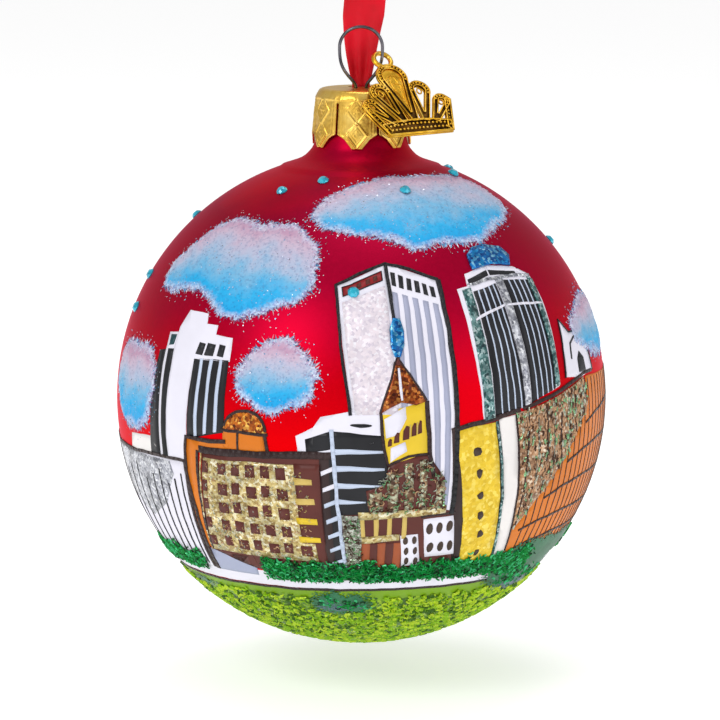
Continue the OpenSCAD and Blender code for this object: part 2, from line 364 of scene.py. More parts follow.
class Paint:
    """areas given by corners (longitude, latitude) in degrees, made into one curved mesh with raised edges"""

    def __init__(self, name):
        self.name, self.areas = name, []

    def area(self, pts, mat, h=0.05):
        self.areas.append((pts, mat, h))

    def line(self, pts, width, mat, h=0.12, closed=False, taper=False):
        """a brushed line, width in mm"""
        if closed:
            pts = pts + [pts[0]]
        dense = [pts[0]]
        for a, b in zip(pts, pts[1:]):
            n = max(1, int(math.dist(a, b) / 1.6))
            dense += [(a[0] + (b[0] - a[0]) * k / n, a[1] + (b[1] - a[1]) * k / n) for k in range(1, n + 1)]
        half = math.degrees(width * MM / R) / 2
        left, right = [], []
        for i, (x, y) in enumerate(dense):
            a, b = dense[max(0, i - 1)], dense[min(len(dense) - 1, i + 1)]
            k = cosd(y)
            d = Vector(((b[0] - a[0]) * k, b[1] - a[1]))
            d = d.normalized() if d.length else Vector((1, 0))
            s = half * (1 + 0.16 * noise.noise(Vector((x * 0.8, y * 0.8, width))))
            if taper:
                s *= 0.55 + 0.45 * math.sin(math.pi * (0.12 + 0.76 * i / (len(dense) - 1)))
            left.append((x - d.y * s / k, y + d.x * s))
            right.append((x + d.y * s / k, y - d.x * s))
        for i in range(len(dense) - 1):
            self.area([left[i], left[i + 1], right[i + 1], right[i]], mat, h)

    def build(self):
        mats = []
        bm = bmesh.new()
        for pts, mat, h in self.areas:
            if mat not in mats:
                mats.append(mat)
            area = sum(a[0] * b[1] - b[0] * a[1] for a, b in zip(pts, pts[1:] + pts[:1]))
            if area < 0:
                pts = pts[::-1]
            part = bmesh.new()
            f = part.faces.new([part.verts.new((x, y, 0)) for x, y in pts])
            if len(pts) > 4:
                bmesh.ops.triangulate(part, faces=[f])
            cut_up(part, pts)
            rim = [e for e in part.edges if e.is_boundary]
            low = bmesh.ops.extrude_edge_only(part, edges=rim)["geom"]
            low = {v for v in low if isinstance(v, bmesh.types.BMVert)}
            k = mats.index(mat)
            where = {}
            for v in part.verts:
                x, y = wob(v.co.x, v.co.y)
                where[v] = bm.verts.new(on_ball(x, y, (SUNK if v in low else h)))
            for g in part.faces:
                new_face = bm.faces.new([where[v] for v in g.verts])
                new_face.material_index = k
                new_face.smooth = not any(v in low for v in g.verts)
            part.free()
        ob = link_bmesh(self.name, bm, mats)
        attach(ob, "ball")


def quad_at(q, s, t):
    """q is top left, top right, bottom right, bottom left; s runs right, t runs down"""
    a = [q[0][i] + (q[1][i] - q[0][i]) * s for i in (0, 1)]
    b = [q[3][i] + (q[2][i] - q[3][i]) * s for i in (0, 1)]
    return (a[0] + (b[0] - a[0]) * t, a[1] + (b[1] - a[1]) * t)


def cell(q, s0, s1, t0, t1):
    return [quad_at(q, s0, t0), quad_at(q, s1, t0), quad_at(q, s1, t1), quad_at(q, s0, t1)]


def inside(pts, x, y):
    hit = False
    for (ax, ay), (bx, by) in zip(pts, pts[1:] + pts[:1]):
        if (ay > y) != (by > y) and x < (bx - ax) * (y - ay) / (by - ay) + ax:
            hit = not hit
    return hit


def flakes(name, spots, size, mats, tilt):
    """loose glitter flakes: spots are (point, outward direction); each is a small six-sided plate"""
    verts, faces, idx = [], [], []
    for p, n in spots:
        n = (n + Vector([rng.gauss(0, tilt) for _ in range(3)]) * 0.6).normalized()
        u = n.orthogonal().normalized()
        u = Matrix.Rotation(rng.random() * 6.28, 3, n) @ u
        v = n.cross(u)
        s = size * MM * rng.uniform(0.55, 1.25) / 2
        k = len(verts)
        sides = 6
        for i in range(sides):
            a = i * 2 * math.pi / sides
            verts.append(p + (u * math.cos(a) + v * math.sin(a) * 0.8) * s)
        faces.append(list(range(k, k + sides)))
        idx.append(rng.randrange(len(mats)))
    ob = link_mesh(name, verts, faces, mats, idx)
    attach(ob, "ball")


def curls(name, spots, mats, size, upright=False):
    """short curled glitter threads lying on the ball: spots are (longitude, latitude, height in mm)"""
    verts, faces, idx = [], [], []
    for lon, lat, h in spots:
        d, e, n = frame_at(lon, lat)
        r = size * rng.uniform(0.35, 0.8)
        a0 = rng.uniform(0, 6.28)
        span = rng.uniform(1.3, 3.4) if not upright else rng.uniform(0.5, 1.4)
        if upright:
            a0, r = rng.choice((0, math.pi)) + rng.gauss(0, 0.3) - span / 2, r * 1.8
        w = size * rng.uniform(0.13, 0.22)
        mid = a0 + span / 2
        k = len(verts)
        for i in range(4):
            a = a0 + span * i / 3
            ww = w * (1 if 0 < i < 3 else 0.6)
            for off, up in ((-ww, 0), (0, w * 1.5), (ww, 0)):
                x = (r + off) * math.cos(a) - r * math.cos(mid)
                y = (r + off) * math.sin(a) - r * math.sin(mid)
                p = d * (R / MM) + e * x + n * y
                verts.append(BALL + p.normalized() * (R + (h + up) * MM))
        for i in range(3):
            b = k + 3 * i
            faces += [[b, b + 3, b + 4, b + 1], [b + 1, b + 4, b + 5, b + 2], [b + 2, b + 5, b + 3, b]]
        faces += [[k, k + 1, k + 2], [k + 11, k + 10, k + 9]]
        idx += [rng.randrange(len(mats))] * 11
    ob = link_mesh(name, verts, faces, mats, idx)
    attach(ob, "ball")
    return ob


def within(pts, n, h0, h1):
    """n seeded (longitude, latitude, height) inside an outline"""
    x0, x1 = min(p[0] for p in pts), max(p[0] for p in pts)
    y0, y1 = min(p[1] for p in pts), max(p[1] for p in pts)
    out = []
    while len(out) < n:
        x, y = rng.uniform(x0, x1), rng.uniform(y0, y1)
        if inside(pts, x, y):
            out.append((*wob(x, y), rng.uniform(h0, h1)))
    return out


# ---------------------------------------------------------------- the glass ball
def ball_mesh():
    """the outside, the flared neck with its lip and the inside, turned round the axis"""
    prof = []
    for i in range(0, 121):
        a = math.radians(-90 + i * (160.5 / 120))
        prof.append((R * math.cos(a), R * math.sin(a)))
    flare = [(13.3, 39.55), (12.2, 39.9), (11.0, 40.3), (10.1, 40.7), (9.4, 41.15), (8.8, 41.75),
             (8.3, 42.35), (7.9, 43.1), (7.7, 43.9), (7.45, 44.8), (7.1, 45.6), (6.86, 46.6), (6.85, 50.9),
             (6.8, 51.25), (6.6, 51.45), (6.3, 51.45), (6.0, 51.3), (5.95, 50.9), (5.95, 40.2)]
    prof += [(a * MM, b * MM) for a, b in flare]
    for i in range(0, 60):
        a = math.radians(81.5 - i * (171.5 / 59))
        prof.append(((R - GLASS) * math.cos(a), (R - GLASS) * math.sin(a)))
    n = 192
    verts = [BALL + Vector((0, 0, prof[0][1]))]
    rings = prof[1:-1]
    for r, z in rings:
        verts += [BALL + Vector((r * math.sin(k * 2 * math.pi / n), -r * math.cos(k * 2 * math.pi / n), z))
                  for k in range(n)]
    verts.append(BALL + Vector((0, 0, prof[-1][1])))
    faces = [[0, 1 + (k + 1) % n, 1 + k][::-1] for k in range(n)]
    for j in range(len(rings) - 1):
        a, b = 1 + j * n, 1 + (j + 1) * n
        faces += [[a + k, a + (k + 1) % n, b + (k + 1) % n, b + k] for k in range(n)]
    a, top = 1 + (len(rings) - 1) * n, len(verts) - 1
    faces += [[a + k, a + (k + 1) % n, top] for k in range(n)]
    return verts, faces


def ball_material():
    m, t, p = nodes_of("red_lacquer")
    co = new(t, "ShaderNodeTexCoord")
    sep = new(t, "ShaderNodeSeparateXYZ")
    t.links.new(co.outputs["Object"], sep.inputs[0])
    mp = new(t, "ShaderNodeMapRange")
    settings(mp, {"From Min": BALL.z - 0.006, "From Max": BALL.z + 0.0405})
    t.links.new(sep.outputs["Z"], mp.inputs["Value"])
    n = obj_noise(t, 34, 3, 0.5)
    mul = new(t, "ShaderNodeMath", operation="MULTIPLY_ADD")
    mul.inputs[1].default_value = 0.5
    t.links.new(n.outputs["Fac"], mul.inputs[0])
    sub = new(t, "ShaderNodeMath", operation="SUBTRACT")
    sub.inputs[1].default_value = 0.25
    t.links.new(mp.outputs[0], sub.inputs[0])
    t.links.new(sub.outputs[0], mul.inputs[2])
    # painted shade: the red is darkened by height, from bright red low on the ball through crimson to wine
    # near the top, and it turns lighter red again on the neck
    r = ramp(t, [(0.0, srgb(222, 0, 4)), (0.3, srgb(204, 0, 18)), (0.62, srgb(166, 4, 44)),
                 (0.86, srgb(146, 4, 44)), (1.0, srgb(200, 2, 30))])
    t.links.new(mul.outputs[0], r.inputs[0])
    fine = obj_noise(t, 1500, 2)
    t.links.new(mix_rgb(t, 0.12, r.outputs[0], fine.outputs["Fac"], "OVERLAY"), p.inputs["Base Color"])
    rough_from(t, p, fine.outputs["Fac"], 0.36, 0.46)
    bump(t, p, fine.outputs["Fac"], 0.08, 0.00004)
    settings(p, {"Metallic": 0.6, "Specular IOR Level": 0.1, "Specular Tint": srgb(255, 96, 140),
                 "Sheen Weight": 0.14, "Sheen Roughness": 0.35, "Sheen Tint": srgb(255, 120, 170)})
    return m


v, f = ball_mesh()
ball = link_mesh("glass_ball_lacquered", v, f, [ball_material()], smooth=True)
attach(ball, "ball")
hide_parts("glass_ball")


# ---------------------------------------------------------------- the painted town
def edge(p, pts, width=0.5, mat=None, h=0.16, closed=False):
    p.line(pts, width, mat or OUTLINE, h, closed)


GAP = 0.34  # share of a window's place that is wall
WALL = 0.06  # mm: thickness of the paint


def block(name, q, wall, win, cols, rows, roof=None):
    """a plain facade: a wall, a grid of windows and a dark edge"""
    p = Paint(name)
    p.area(q, wall, WALL)
    for i in range(cols):
        for j in range(rows):
            s0, s1 = (i + GAP) / cols, (i + 1 - GAP * 0.6) / cols
            t0, t1 = 0.06 + 0.9 * (j + GAP) / rows, 0.06 + 0.9 * (j + 1 - GAP * 0.6) / rows
            p.area(cell(q, s0, s1, t0, t1), win, WALL + 0.05)
    edge(p, [q[3], q[0], q[1], q[2]], 0.45)
    if roof:
        p.area(roof, wall, WALL)
        edge(p, roof, 0.4, closed=True)
    p.build()


def sheet_band(name, lat0, lat1, mat, h):
    """a band round the ball with softly uneven edges"""
    n, m = 240, 8  # columns round the ball, rows up the band
    verts = []
    for j in range(m + 1):
        for i in range(n + 1):
            lon = -180 + 360 * i / n
            lat = lat0 + (lat1 - lat0) * j / m
            waver = wob(lon if lon < 180 else -180, lat, 0.25)[1]
            verts.append(on_ball(lon, waver, h if 0 < j < m else SUNK))
    ob = link_mesh(name, verts, grid_faces(m, n), [mat], smooth=True)
    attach(ob, "ball")


KERB = -40.6  # latitude of the line between street and lawn
sheet_band("street_paint", KERB, -35.2, WHITE, 0.04)
sheet_band("verge_paint", -52, KERB + 0.4, LIME, 0.035)
p = Paint("kerb_line")
p.line([(x, KERB + 0.35 * sind(x * 2)) for x in range(-180, 181, 4)], 0.55, OUTLINE, 0.09)
p.build()

# low white building at the left
p = Paint("low_white_building")
q = [(-84, -8.5), (-44.5, -8), (-44.6, -36.8), (-84, -35)]
p.area(q, WHITE)
p.area([(-68, -8.2), (-67, -4.6), (-57, -3.9), (-53, -7.8)], WARM_WHITE)
p.area([(-82, -9.2), (-50, -8.8), (-49, -12), (-55, -20), (-66, -25), (-80, -20)], G_SILVER, 0.1)
for k, x in enumerate((-47.2, -49.8, -52.6, -55.6, -59, -63, -67.5, -72.5, -78)):
    p.line([(x + 0.8, -11.5 - (k % 3) * 1.6), (x + 0.2, -24), (x - 0.8, -35.6)], 0.26 + 0.05 * (k % 2),
           BLACK, 0.14)
p.line([(-84, -8.8), (-66.5, -8.6), (-58, -8.1), (-51, -8), (-44.5, -8.1)], 0.5, OUTLINE, 0.16)
p.line([(-44.4, -7.8), (-43.6, -20), (-44.8, -36.8)], 0.75, OUTLINE, 0.17)
p.build()

# striped tower with a white shaft
p = Paint("striped_tower_left")
p.area([(-55.6, 16), (-53.3, 16.4), (-53, -8), (-57.2, -8)], BLACK, 0.06)
p.area([(-53.3, 20.4), (-49.8, 20.8), (-49.8, -6), (-53, -8)], WHITE, 0.07)
p.area([(-52.3, 16.6), (-50.1, 16.8), (-50.3, -8), (-52.1, -8)], BLACK, 0.1)
p.area([(-52.5, 19.9), (-50.3, 20.2), (-50.5, 17.7), (-52.4, 17.4)], TEAL, 0.11)
p.area([(-50.6, -8), (-50, 22), (-48.2, 26.2), (-41.5, 26), (-41, 23.6), (-37.5, 23.6), (-37.4, 21.4),
        (-32.3, 21), (-31.9, 15.6), (-42.5, 15.4), (-43.4, -2.5), (-43.6, -8)], WHITE, 0.08)
q = [(-42.5, 15.6), (-32.2, 15.9), (-32.4, -0.4), (-43.2, -2.8)]
p.area(q, BLACK, 0.08)
for s in (0.2, 0.47, 0.74):
    p.area(cell(q, s, s + 0.085, 0, 0.98), PALE, 0.12)
for s, w in ((-41.9, 2.1), (-39.2, 2.4), (-35.6, 1.9)):
    p.area([(s, 19.3), (s + w, 19.1), (s + w - 0.3, 16.4), (s - 0.4, 16.5)], BLACK, 0.12)
p.build()

# orange house with a bronze dome
p = Paint("domed_house")
p.area([(-43.2, -2.7), (-31, -2.3), (-31, -4.9), (-39.9, -5.3), (-42.2, -30), (-45.4, -30)], ORANGE, 0.08)
p.area([(-32.6, 0.3), (-22.3, 0.2), (-21.6, -4.8), (-32.6, -5)], ORANGE, 0.08)
dome = [(-27 - 5.3 * cosd(a), 0.6 + 4.5 * sind(a)) for a in range(10, 180, 14)]
dome = [(-32.6, 0.4)] + dome + [(-21.2, 0.4)]
p.area(dome, G_BRONZE, 0.14)
edge(p, dome[1:-1], 0.45)
edge(p, [(-33, 0.3), (-27, 0.1), (-21.2, 0.1)], 0.5)
edge(p, [(-28.6, 0), (-28.7, -4.6)], 0.38)
edge(p, [(-22, 0.2), (-21, -5)], 0.55)
edge(p, [(-31.8, -2.3), (-36, -2.6), (-43.6, -2.4), (-44.6, -16), (-46, -36.5)], 0.62)
edge(p, [(-40.1, -5.2), (-42.4, -29.8)], 0.5)
p.build()

# black office block behind, with white floors and a white roof
p = Paint("striped_office")
p.area([(-14.6, 0.2), (-10.6, 2.2), (-9, 4.6), (-2, 6), (7, 5.6), (7, 0), (-6.5, 1.6), (-12.3, -0.4),
        (-12.4, -5), (-14.1, -5)], WHITE, 0.06)
p.area([(-12.5, -0.5), (-6.5, 1.5), (-4, -34), (-10.5, -33)], BLACK, 0.07)
p.area([(-6.5, 1.5), (6.2, 0.4), (6.4, -12.5), (1.5, -13), (1, -18.5), (-1, -19), (-2, -34), (-4, -34)],
       BLACK, 0.07)
for k in range(8):
    y = -2.4 - k * 3.95
    c = -6.4 + 2.4 * (1.5 - y) / 35
    left = -12.2 if k == 0 else -9.3 + 0.25 * k
    floor_paint = PALE if k > 2 else WHITE
    p.area([(left, y - 1.35), (c - 0.1, y), (c - 0.1, y - 1.15), (left + 0.1, y - 2.35)], floor_paint, 0.12)
    if k < 5:
        right = 5.2 if k < 3 else (1.2 if k == 3 else -0.8)
        p.area([(c + 0.2, y), (right, y - 0.55), (right, y - 1.1 + 0.25 * (k > 1)), (c + 0.2, y - 1.35)],
               PALE, 0.12)
p.line([(-6.5, 1.8), (-5.4, -16), (-4, -34)], 0.62, PALE, 0.15)
p.area(oval(0, 2.9, 2.4, 0.42, 24), BLACK, 0.1)
p.build()

# tall white tower, two faces
p = Paint("tall_white_tower")
lf = [(-6.5, 34.6), (7, 40.1), (9.2, 5.2), (-2, 5.2)]
rf = [(7, 40.1), (21.5, 35.6), (21.6, -18.5), (9, -18.5)]
p.area(lf, WHITE, 0.06)
p.area(rf, WHITE, 0.06)
p.area(cell(lf, 0.07, 0.93, 0.15, 1.0), G_PEARL, 0.16)
band = cell(lf, 0.1, 0.9, 0.035, 0.105)
p.area(band, DKRED, 0.12)
for k in range(4):
    p.area(cell(band, 0.14 + 0.21 * k, 0.25 + 0.21 * k, 0.25, 0.8), BROWN, 0.15)
edge(p, band, 0.16, BLACK, 0.16, closed=True)
for k in range(6):
    p.area(cell(rf, 0.08 + 0.145 * k, 0.165 + 0.145 * k, 0.03 + 0.002 * k, 0.088), BLACK, 0.12)
for k in range(5):
    s = 0.07 + 0.185 * k
    p.area(cell(rf, s, s + 0.1, 0.115, 1.0), GREY, 0.1)
edge(p, [(-2.2, 5), (-4.8, 20), (-6.7, 34.6), (-0.4, 37.8), (7, 40.3), (14, 38.6), (21.6, 35.7)], 0.5, BLACK)
edge(p, [(7, 40.3), (7.9, 29), (8.6, 17.5)], 0.55, BLACK)
edge(p, [(21.5, 35.7), (21.9, 12), (21.8, -18.5)], 0.8, BLACK)
p.build()

# yellow tower with a bronze spire roof
p = Paint("yellow_tower")
body = [(4.5, 5.5), (14.6, 8), (15.1, -3.6), (6, -6.2)]
p.area(body, YELLOW, 0.14)
p.area([(4.5, 5.5), (8.5, 17.6), (14.6, 8), (12.4, 7.2), (9, 7.8), (6.4, 6.6)], G_COPPER, 0.2)
p.line([(8.7, 15.4), (8.9, 11.5), (9.2, 8.2)], 0.45, WHITE, 0.26, taper=True)
p.area([(8.0, 16.2), (8.5, 17.9), (9.4, 16)], BROWN, 0.27)
p.area([(5.1, 4.2), (9.9, 6.9), (10.1, 4.2), (8.2, 0.6), (5.6, 0.0)], WHITE, 0.18)
p.area([(6.6, -2.3), (9.8, -0.9), (10.2, -3), (8.6, -4), (6.6, -5.6)], WHITE, 0.18)
for x, y, w, t in ((6.4, -1.0, 0.9, 0.9), (7.9, 0.0, 1.2, 1.2), (10.0, 1.0, 1.5, 1.6),
                   (11.8, 1.8, 1.1, 1.5), (13.2, 2.3, 0.9, 1.5)):
    p.area([(x - w / 2, y - t), (x - w / 2 + 0.1, y + t * 0.3), (x, y + t), (x + w / 2, y + t * 0.9),
            (x + w / 2, y - t * 0.8)], BROWN, 0.19)
for x, y in ((10.95, 1.5), (12.6, 2.1)):
    p.area([(x - 0.15, y - 1.3), (x - 0.1, y + 1.3), (x + 0.15, y + 1.3), (x + 0.12, y - 1.2)], TAN, 0.21)
edge(p, [(6, -6.4), (4.9, -1), (4.4, 5.6), (8.4, 17.9), (14.8, 8.1)], 0.5)
edge(p, [(14.9, 8.1), (15.4, -4), (16.6, -9.4)], 0.75)
edge(p, [(6, -6.3), (10.5, -4.3), (15.2, -3.8)], 0.45)
steps = [(6, -6.6), (10.5, -4.6), (15.1, -4), (16.6, -9.6), (19.2, -9.7), (19.8, -17.6), (2.2, -18.2),
         (1.1, -12.2), (5.4, -11)]
p.area(steps, BROWN, 0.13)
for x0, x1, y0, y1 in ((5.9, 8.3, -8, -17.6), (9.8, 11.8, -6, -17.4), (13.2, 14.9, -5.2, -17.2),
                       (1.8, 4.8, -12.6, -17.8), (17.2, 19.2, -10.5, -17)):
    p.area([(x0, y0), (x1, y0 + 0.2), (x1 + 0.4, y1), (x0 + 0.3, y1)], G_BROWN, 0.2)
p.build()
p = Paint("blue_spire")
spire = [(7.9, 17.9), (7.0, 20.5), (6.9, 24), (7.8, 26.8), (9.6, 26.6), (10.4, 23.8), (10.2, 20.5),
         (9.2, 17.9)]
p.area(spire, G_BLUE, 0.24)
p.build()

# low brown hall and two small white houses
p = Paint("brown_hall")
p.area([(-4.6, -18.2), (20.2, -17.4), (22.4, -18), (26, -34.8), (11, -35.5), (-4, -35.5)], BROWN, 0.11)
p.area([(-4.7, -18.2), (-0.3, -18.4), (0.1, -25), (-0.2, -34.4), (-3.4, -33)], G_GREY, 0.2)
p.area([(-0.7, -17.5), (12, -17), (20.3, -16.2), (20.3, -18.2), (11, -18.8), (-0.6, -19.4)], G_CREAM, 0.2)
p.area([(-0.2, -23.8), (9.4, -23.2), (9.4, -24.8), (-0.2, -25.6)], G_CREAM, 0.2)
for x in (-0.3, 3, 6.2, 9.8):
    p.area([(x, -18.5), (x + 1.1, -18.5), (x + 1.25, -24.4), (x + 0.1, -24.4)], TAN, 0.18)
for k, m in enumerate((RUST, BROWN, RUST, BROWN, RUST)):
    p.area([(0.1 + 2 * k, -25.6), (2.1 + 2 * k, -25.5), (2.25 + 2 * k, -33.8), (0.1 + 2 * k, -33.9)], m, 0.16)
p.build()
p = Paint("small_white_houses")
for q, cols, rows in (([(9.6, -23.6), (14, -23.3), (15.6, -32.6), (10.6, -32.4)], 2, 3),
                      ([(14.8, -19.6), (22.4, -19), (24.6, -29.6), (16.6, -30)], 3, 2)):
    p.area(q, WHITE, 0.18)
    for i in range(cols):
        for j in range(rows):
            c = quad_at(q, (i + 0.55) / cols, (j + 0.5) / rows)
            w = 0.62 if cols == 2 else 0.82
            p.area(oval(*c, w, 1.75 * w, 30), WINDOW, 0.22)
edge(p, [(14.2, -19), (22.8, -18.2)], 0.4)
p.build()

# yellow block with rough plaster, white strip beside it
p = Paint("yellow_block")
q = [(21.4, 1.1), (31.4, 2.2), (37.2, -34.5), (27.4, -35)]
p.area(q, G_YELLOW, 0.14)
for k in range(6):
    c = quad_at(q, 0.45 + 0.012 * k, 0.16 + 0.142 * k)
    spot = [(c[0] + rng.uniform(0.6, 1.15) * cosd(a), c[1] + rng.uniform(0.75, 1.35) * sind(a))
            for a in range(0, 360, 45)]
    p.area(spot, WINDOW, 0.2)
edge(p, [(20.6, 1.2), (26.4, 2.2), (32.6, 3.2), (38.6, 4.2)], 0.75)
p.area([(20.6, 1.4), (22, 1.4), (24.6, -14), (28, -35), (25.2, -35), (21.6, -19)], OUTLINE, 0.12)
p.area([(30.5, 2.2), (39, 3.4), (43.4, -34.5), (36, -34.5)], OUTLINE, 0.05)
p.area([(32.4, 2.6), (37, 3.2), (41.8, -34), (38, -34)], WARM_WHITE, 0.12)
p.line([(31.8, 2.4), (34.5, -13), (37.2, -32)], 0.42, G_TEAL, 0.2)
p.line([(37.2, 3), (39, -12), (41.4, -31)], 0.28, OUTLINE, 0.2)
p.build()

# sand coloured wedge and the orange lattice behind it
slope = [(64.6, 2.4), (58, -4.6), (52.5, -11), (47, -17), (40.9, -25)]
p = Paint("orange_lattice")
p.area([(64.8, 8.6), (80, 8), (97, 7.4), (97, -36), (56, -36), (42, -35)] + slope[::-1], ORANGE, 0.07)


def slope_lat(x):
    pts = sorted(slope)
    for a, b in zip(pts, pts[1:]):
        if a[0] <= x <= b[0]:
            return a[1] + (b[1] - a[1]) * (x - a[0]) / (b[0] - a[0])
    return 8.0 if x > 64 else -25.5


x = 44.5
while x < 97:
    y = slope_lat(x)
    p.line([(x, y), (x + 0.3, (y - 33) / 2), (x, -34.5)], 0.2, OUTLINE, 0.12)
    x += 2.35
for y in (1.2, -6.8, -14.6, -22.4, -28):
    start = next((x for x in [43 + 0.5 * k for k in range(60)] if slope_lat(x) > y + 0.3), 64)
    p.line([(start, y - 3.2), (start + 6, y - 1.4), (start + 16, y), (97, y + 0.5)], 0.42, OUTLINE, 0.14)
p.build()
p = Paint("sand_wedge")
wedge = [(37.4, 3.5), (46, 4.8), (55, 6.8), (63.4, 8.8)] + slope
p.area(wedge + [(39.4, -12)], G_TANB, 0.18)
for k in range(8):
    x = 41 + 2.9 * k
    y1 = slope_lat(x) + 0.8
    y0 = 4 + (x - 38.6) * 0.19
    stroke = [(x, y0 - 1), (x + 0.7 * math.sin(k), (y0 + y1) / 2), (x + 0.5, y1)]
    p.line(stroke, 0.3, G_GREY if k % 2 else OUTLINE, 0.24, taper=True)
edge(p, [(39.4, 4.4), (46, 5.6), (55, 7.6), (63.6, 9.6), (69, 9.4)], 0.6)
p.build()

# dark striped tower with glittering edges
p = Paint("striped_tower_right")
p.area([(26.4, 33), (29.8, 33.4), (30, 36.6), (38, 38.6), (48.6, 37.3), (48.8, 35.6), (53.6, 34.7),
        (54.2, 28), (52.4, 8.2), (41, 5.2), (28.6, 2.6)], WHITE, 0.06)
left = [(31.2, 32), (39.2, 33.6), (40.2, 4.8), (31.6, 3)]
right = [(42.4, 34.2), (51.8, 33.4), (50.6, 7.8), (42.2, 5.4)]
for q in (left, right):
    p.area(q, BLACK, 0.1)
    for s in (0.2, 0.42, 0.64, 0.85):
        a, b = quad_at(q, s, 0.0), quad_at(q, s + 0.02, 1.0)
        p.line([a, ((a[0] + b[0]) / 2 + 0.2, (a[1] + b[1]) / 2), b], 0.24, PALE, 0.15)
p.line([(29.6, 25.4), (34, 26.9), (39.4, 28.2)], 0.5, WHITE, 0.2, taper=True)
p.line([(40.4, 28.2), (47, 27.9), (53.2, 27.4)], 0.42, WHITE, 0.2, taper=True)
p.area([(27.8, 32.6), (30.6, 33), (31.4, 3.2), (28.9, 2.8)], G_TEAL, 0.2)
p.area([(39.5, 35), (42.2, 35), (41.9, 5.4), (40.1, 5)], G_SILVER, 0.2)
p.area([(51.9, 34.4), (53.7, 33.4), (52.4, 8.4), (50.7, 8)], G_TEAL, 0.2)
p.area([(30.4, 35.2), (38, 37.2), (48.2, 36), (48.2, 35.2), (38, 35.9), (30.6, 33.8)], BLACK, 0.12)
p.line([(38, 38), (38, 35.6)], 0.25, WHITE, 0.16)
p.line([(30, 33.6), (37, 34.9), (47, 35), (53.4, 34.4)], 0.55, G_SILVER, 0.2)
p.build()
p = Paint("blue_tower_top")
top_blob = [(33.2, 37.6), (33.4, 41.6), (36, 43.2), (41, 44), (47.6, 42.6), (49.4, 40.2), (47.6, 37.6),
            (41, 38.6)]
p.area(top_blob, G_BLUE, 0.3)
p.build()

# pointed white gable
p = Paint("white_gable")
p.area([(55.4, 9.6), (56.2, 15.5), (57.6, 22.6), (60.5, 19.4), (64.8, 19), (68.6, 15.6), (69.6, 9.6),
        (62.4, 8.8)], WHITE, 0.1)
p.line([(59, 13.4), (60, 16.8), (63.4, 18.6), (66.8, 16)], 0.4, BLACK, 0.16)
p.area([(61.6, 10), (61.8, 13), (63.4, 14.6), (65.2, 13), (65.4, 10)], BLACK, 0.16)
edge(p, [(55.2, 9.4), (56.1, 15.5), (57.6, 22.8), (60.6, 19.6), (64.9, 19.2), (68.8, 15.7), (69.8, 9.4)],
     0.3, BLACK)
p.build()

# brown house with a cream lattice
p = Paint("lattice_house")
p.area([(-38.6, -5.4), (-9.4, -4.4), (-8.6, -34.6), (-29, -35), (-29.4, -31), (-42.6, -30.6)], BROWN, 0.1)
p.area([(-9.4, -4.2), (-7.2, -4.2), (-6.6, -33.6), (-9, -32)], OUTLINE, 0.1)
q = [(-38.4, -6.6), (-12.6, -6.4), (-11.2, -31.2), (-42.2, -30.4)]
p.area(q, G_CREAM, 0.16)
for i in range(7):
    for j in range(5):
        if i == 6 and j < 4:
            continue
        s0 = 0.02 + 0.142 * i if i else 0.0
        w = 0.085 if i else 0.06
        jit = 0.012 * math.sin(3.1 * i + 5.3 * j)
        t0 = 0.03 + 0.196 * j + jit
        p.area(cell(q, s0, min(1, s0 + w + jit), t0, t0 + 0.115), BROWN, 0.2)
p.area(cell([(-15.2, -6.2), (-9.4, -6.2), (-9, -26), (-14.6, -26)], 0, 1, 0, 1), BROWN, 0.18)
for j in range(4):
    y = -9.4 - 4.9 * j
    shutter = [(-15.4, y), (-11.2 + 0.4 * j, y - 0.1), (-11.1 + 0.4 * j, y - 1.5), (-15.2, y - 1.6)]
    p.area(shutter, YELLOW if j > 1 else TAN, 0.22)
edge(p, [(-39.6, -4.8), (-24, -4.6), (-6.6, -3.9)], 1.2)
edge(p, [(-39, -5.6), (-41, -18), (-42.9, -30.6)], 0.3, G_CREAM)
p.area([(-44, -30.4), (-29.4, -31.2), (-30.4, -37), (-45.4, -37)], PATCH, 0.08)
p.build()

F_TAN = flake_mat("flake_tan", (206, 164, 126), 0.2, 0.3)
F_UMBER = flake_mat("flake_umber", (80, 52, 38), 0.2, 0.3)
F_ASH = flake_mat("flake_ash", (186, 194, 176), 0.5, 0.22)
F_FERN = flake_mat("flake_fern", (140, 190, 140), 0.5, 0.22)
spots = within(wedge + [(40.8, -12)], 520, 0.14, 0.3)
curls("wedge_threads", spots, [F_TAN, F_UMBER, F_ASH, F_TAN, F_FERN], 0.75, True)
spots = within([(6, -7), (15, -5), (19.6, -10), (19.6, -17.4), (2.4, -17.8), (1.4, -12)], 190, 0.16, 0.28)
curls("steps_threads", spots, [F_ASH, F_FERN, F_UMBER, F_TAN], 0.6)
spots = within([(-4.6, -19), (-0.4, -19), (0, -34), (-3.2, -33)], 110, 0.18, 0.28)
curls("hall_threads", spots, [F_ASH, F_FERN, F_UMBER], 0.6)
curls("lattice_threads", within([(-38, -7), (-12.5, -7), (-11.5, -31), (-41.5, -30)], 420, 0.14, 0.2),
      [F_TAN, flake_mat("flake_straw", (206, 184, 110), 0.2, 0.3), F_ASH], 0.42)

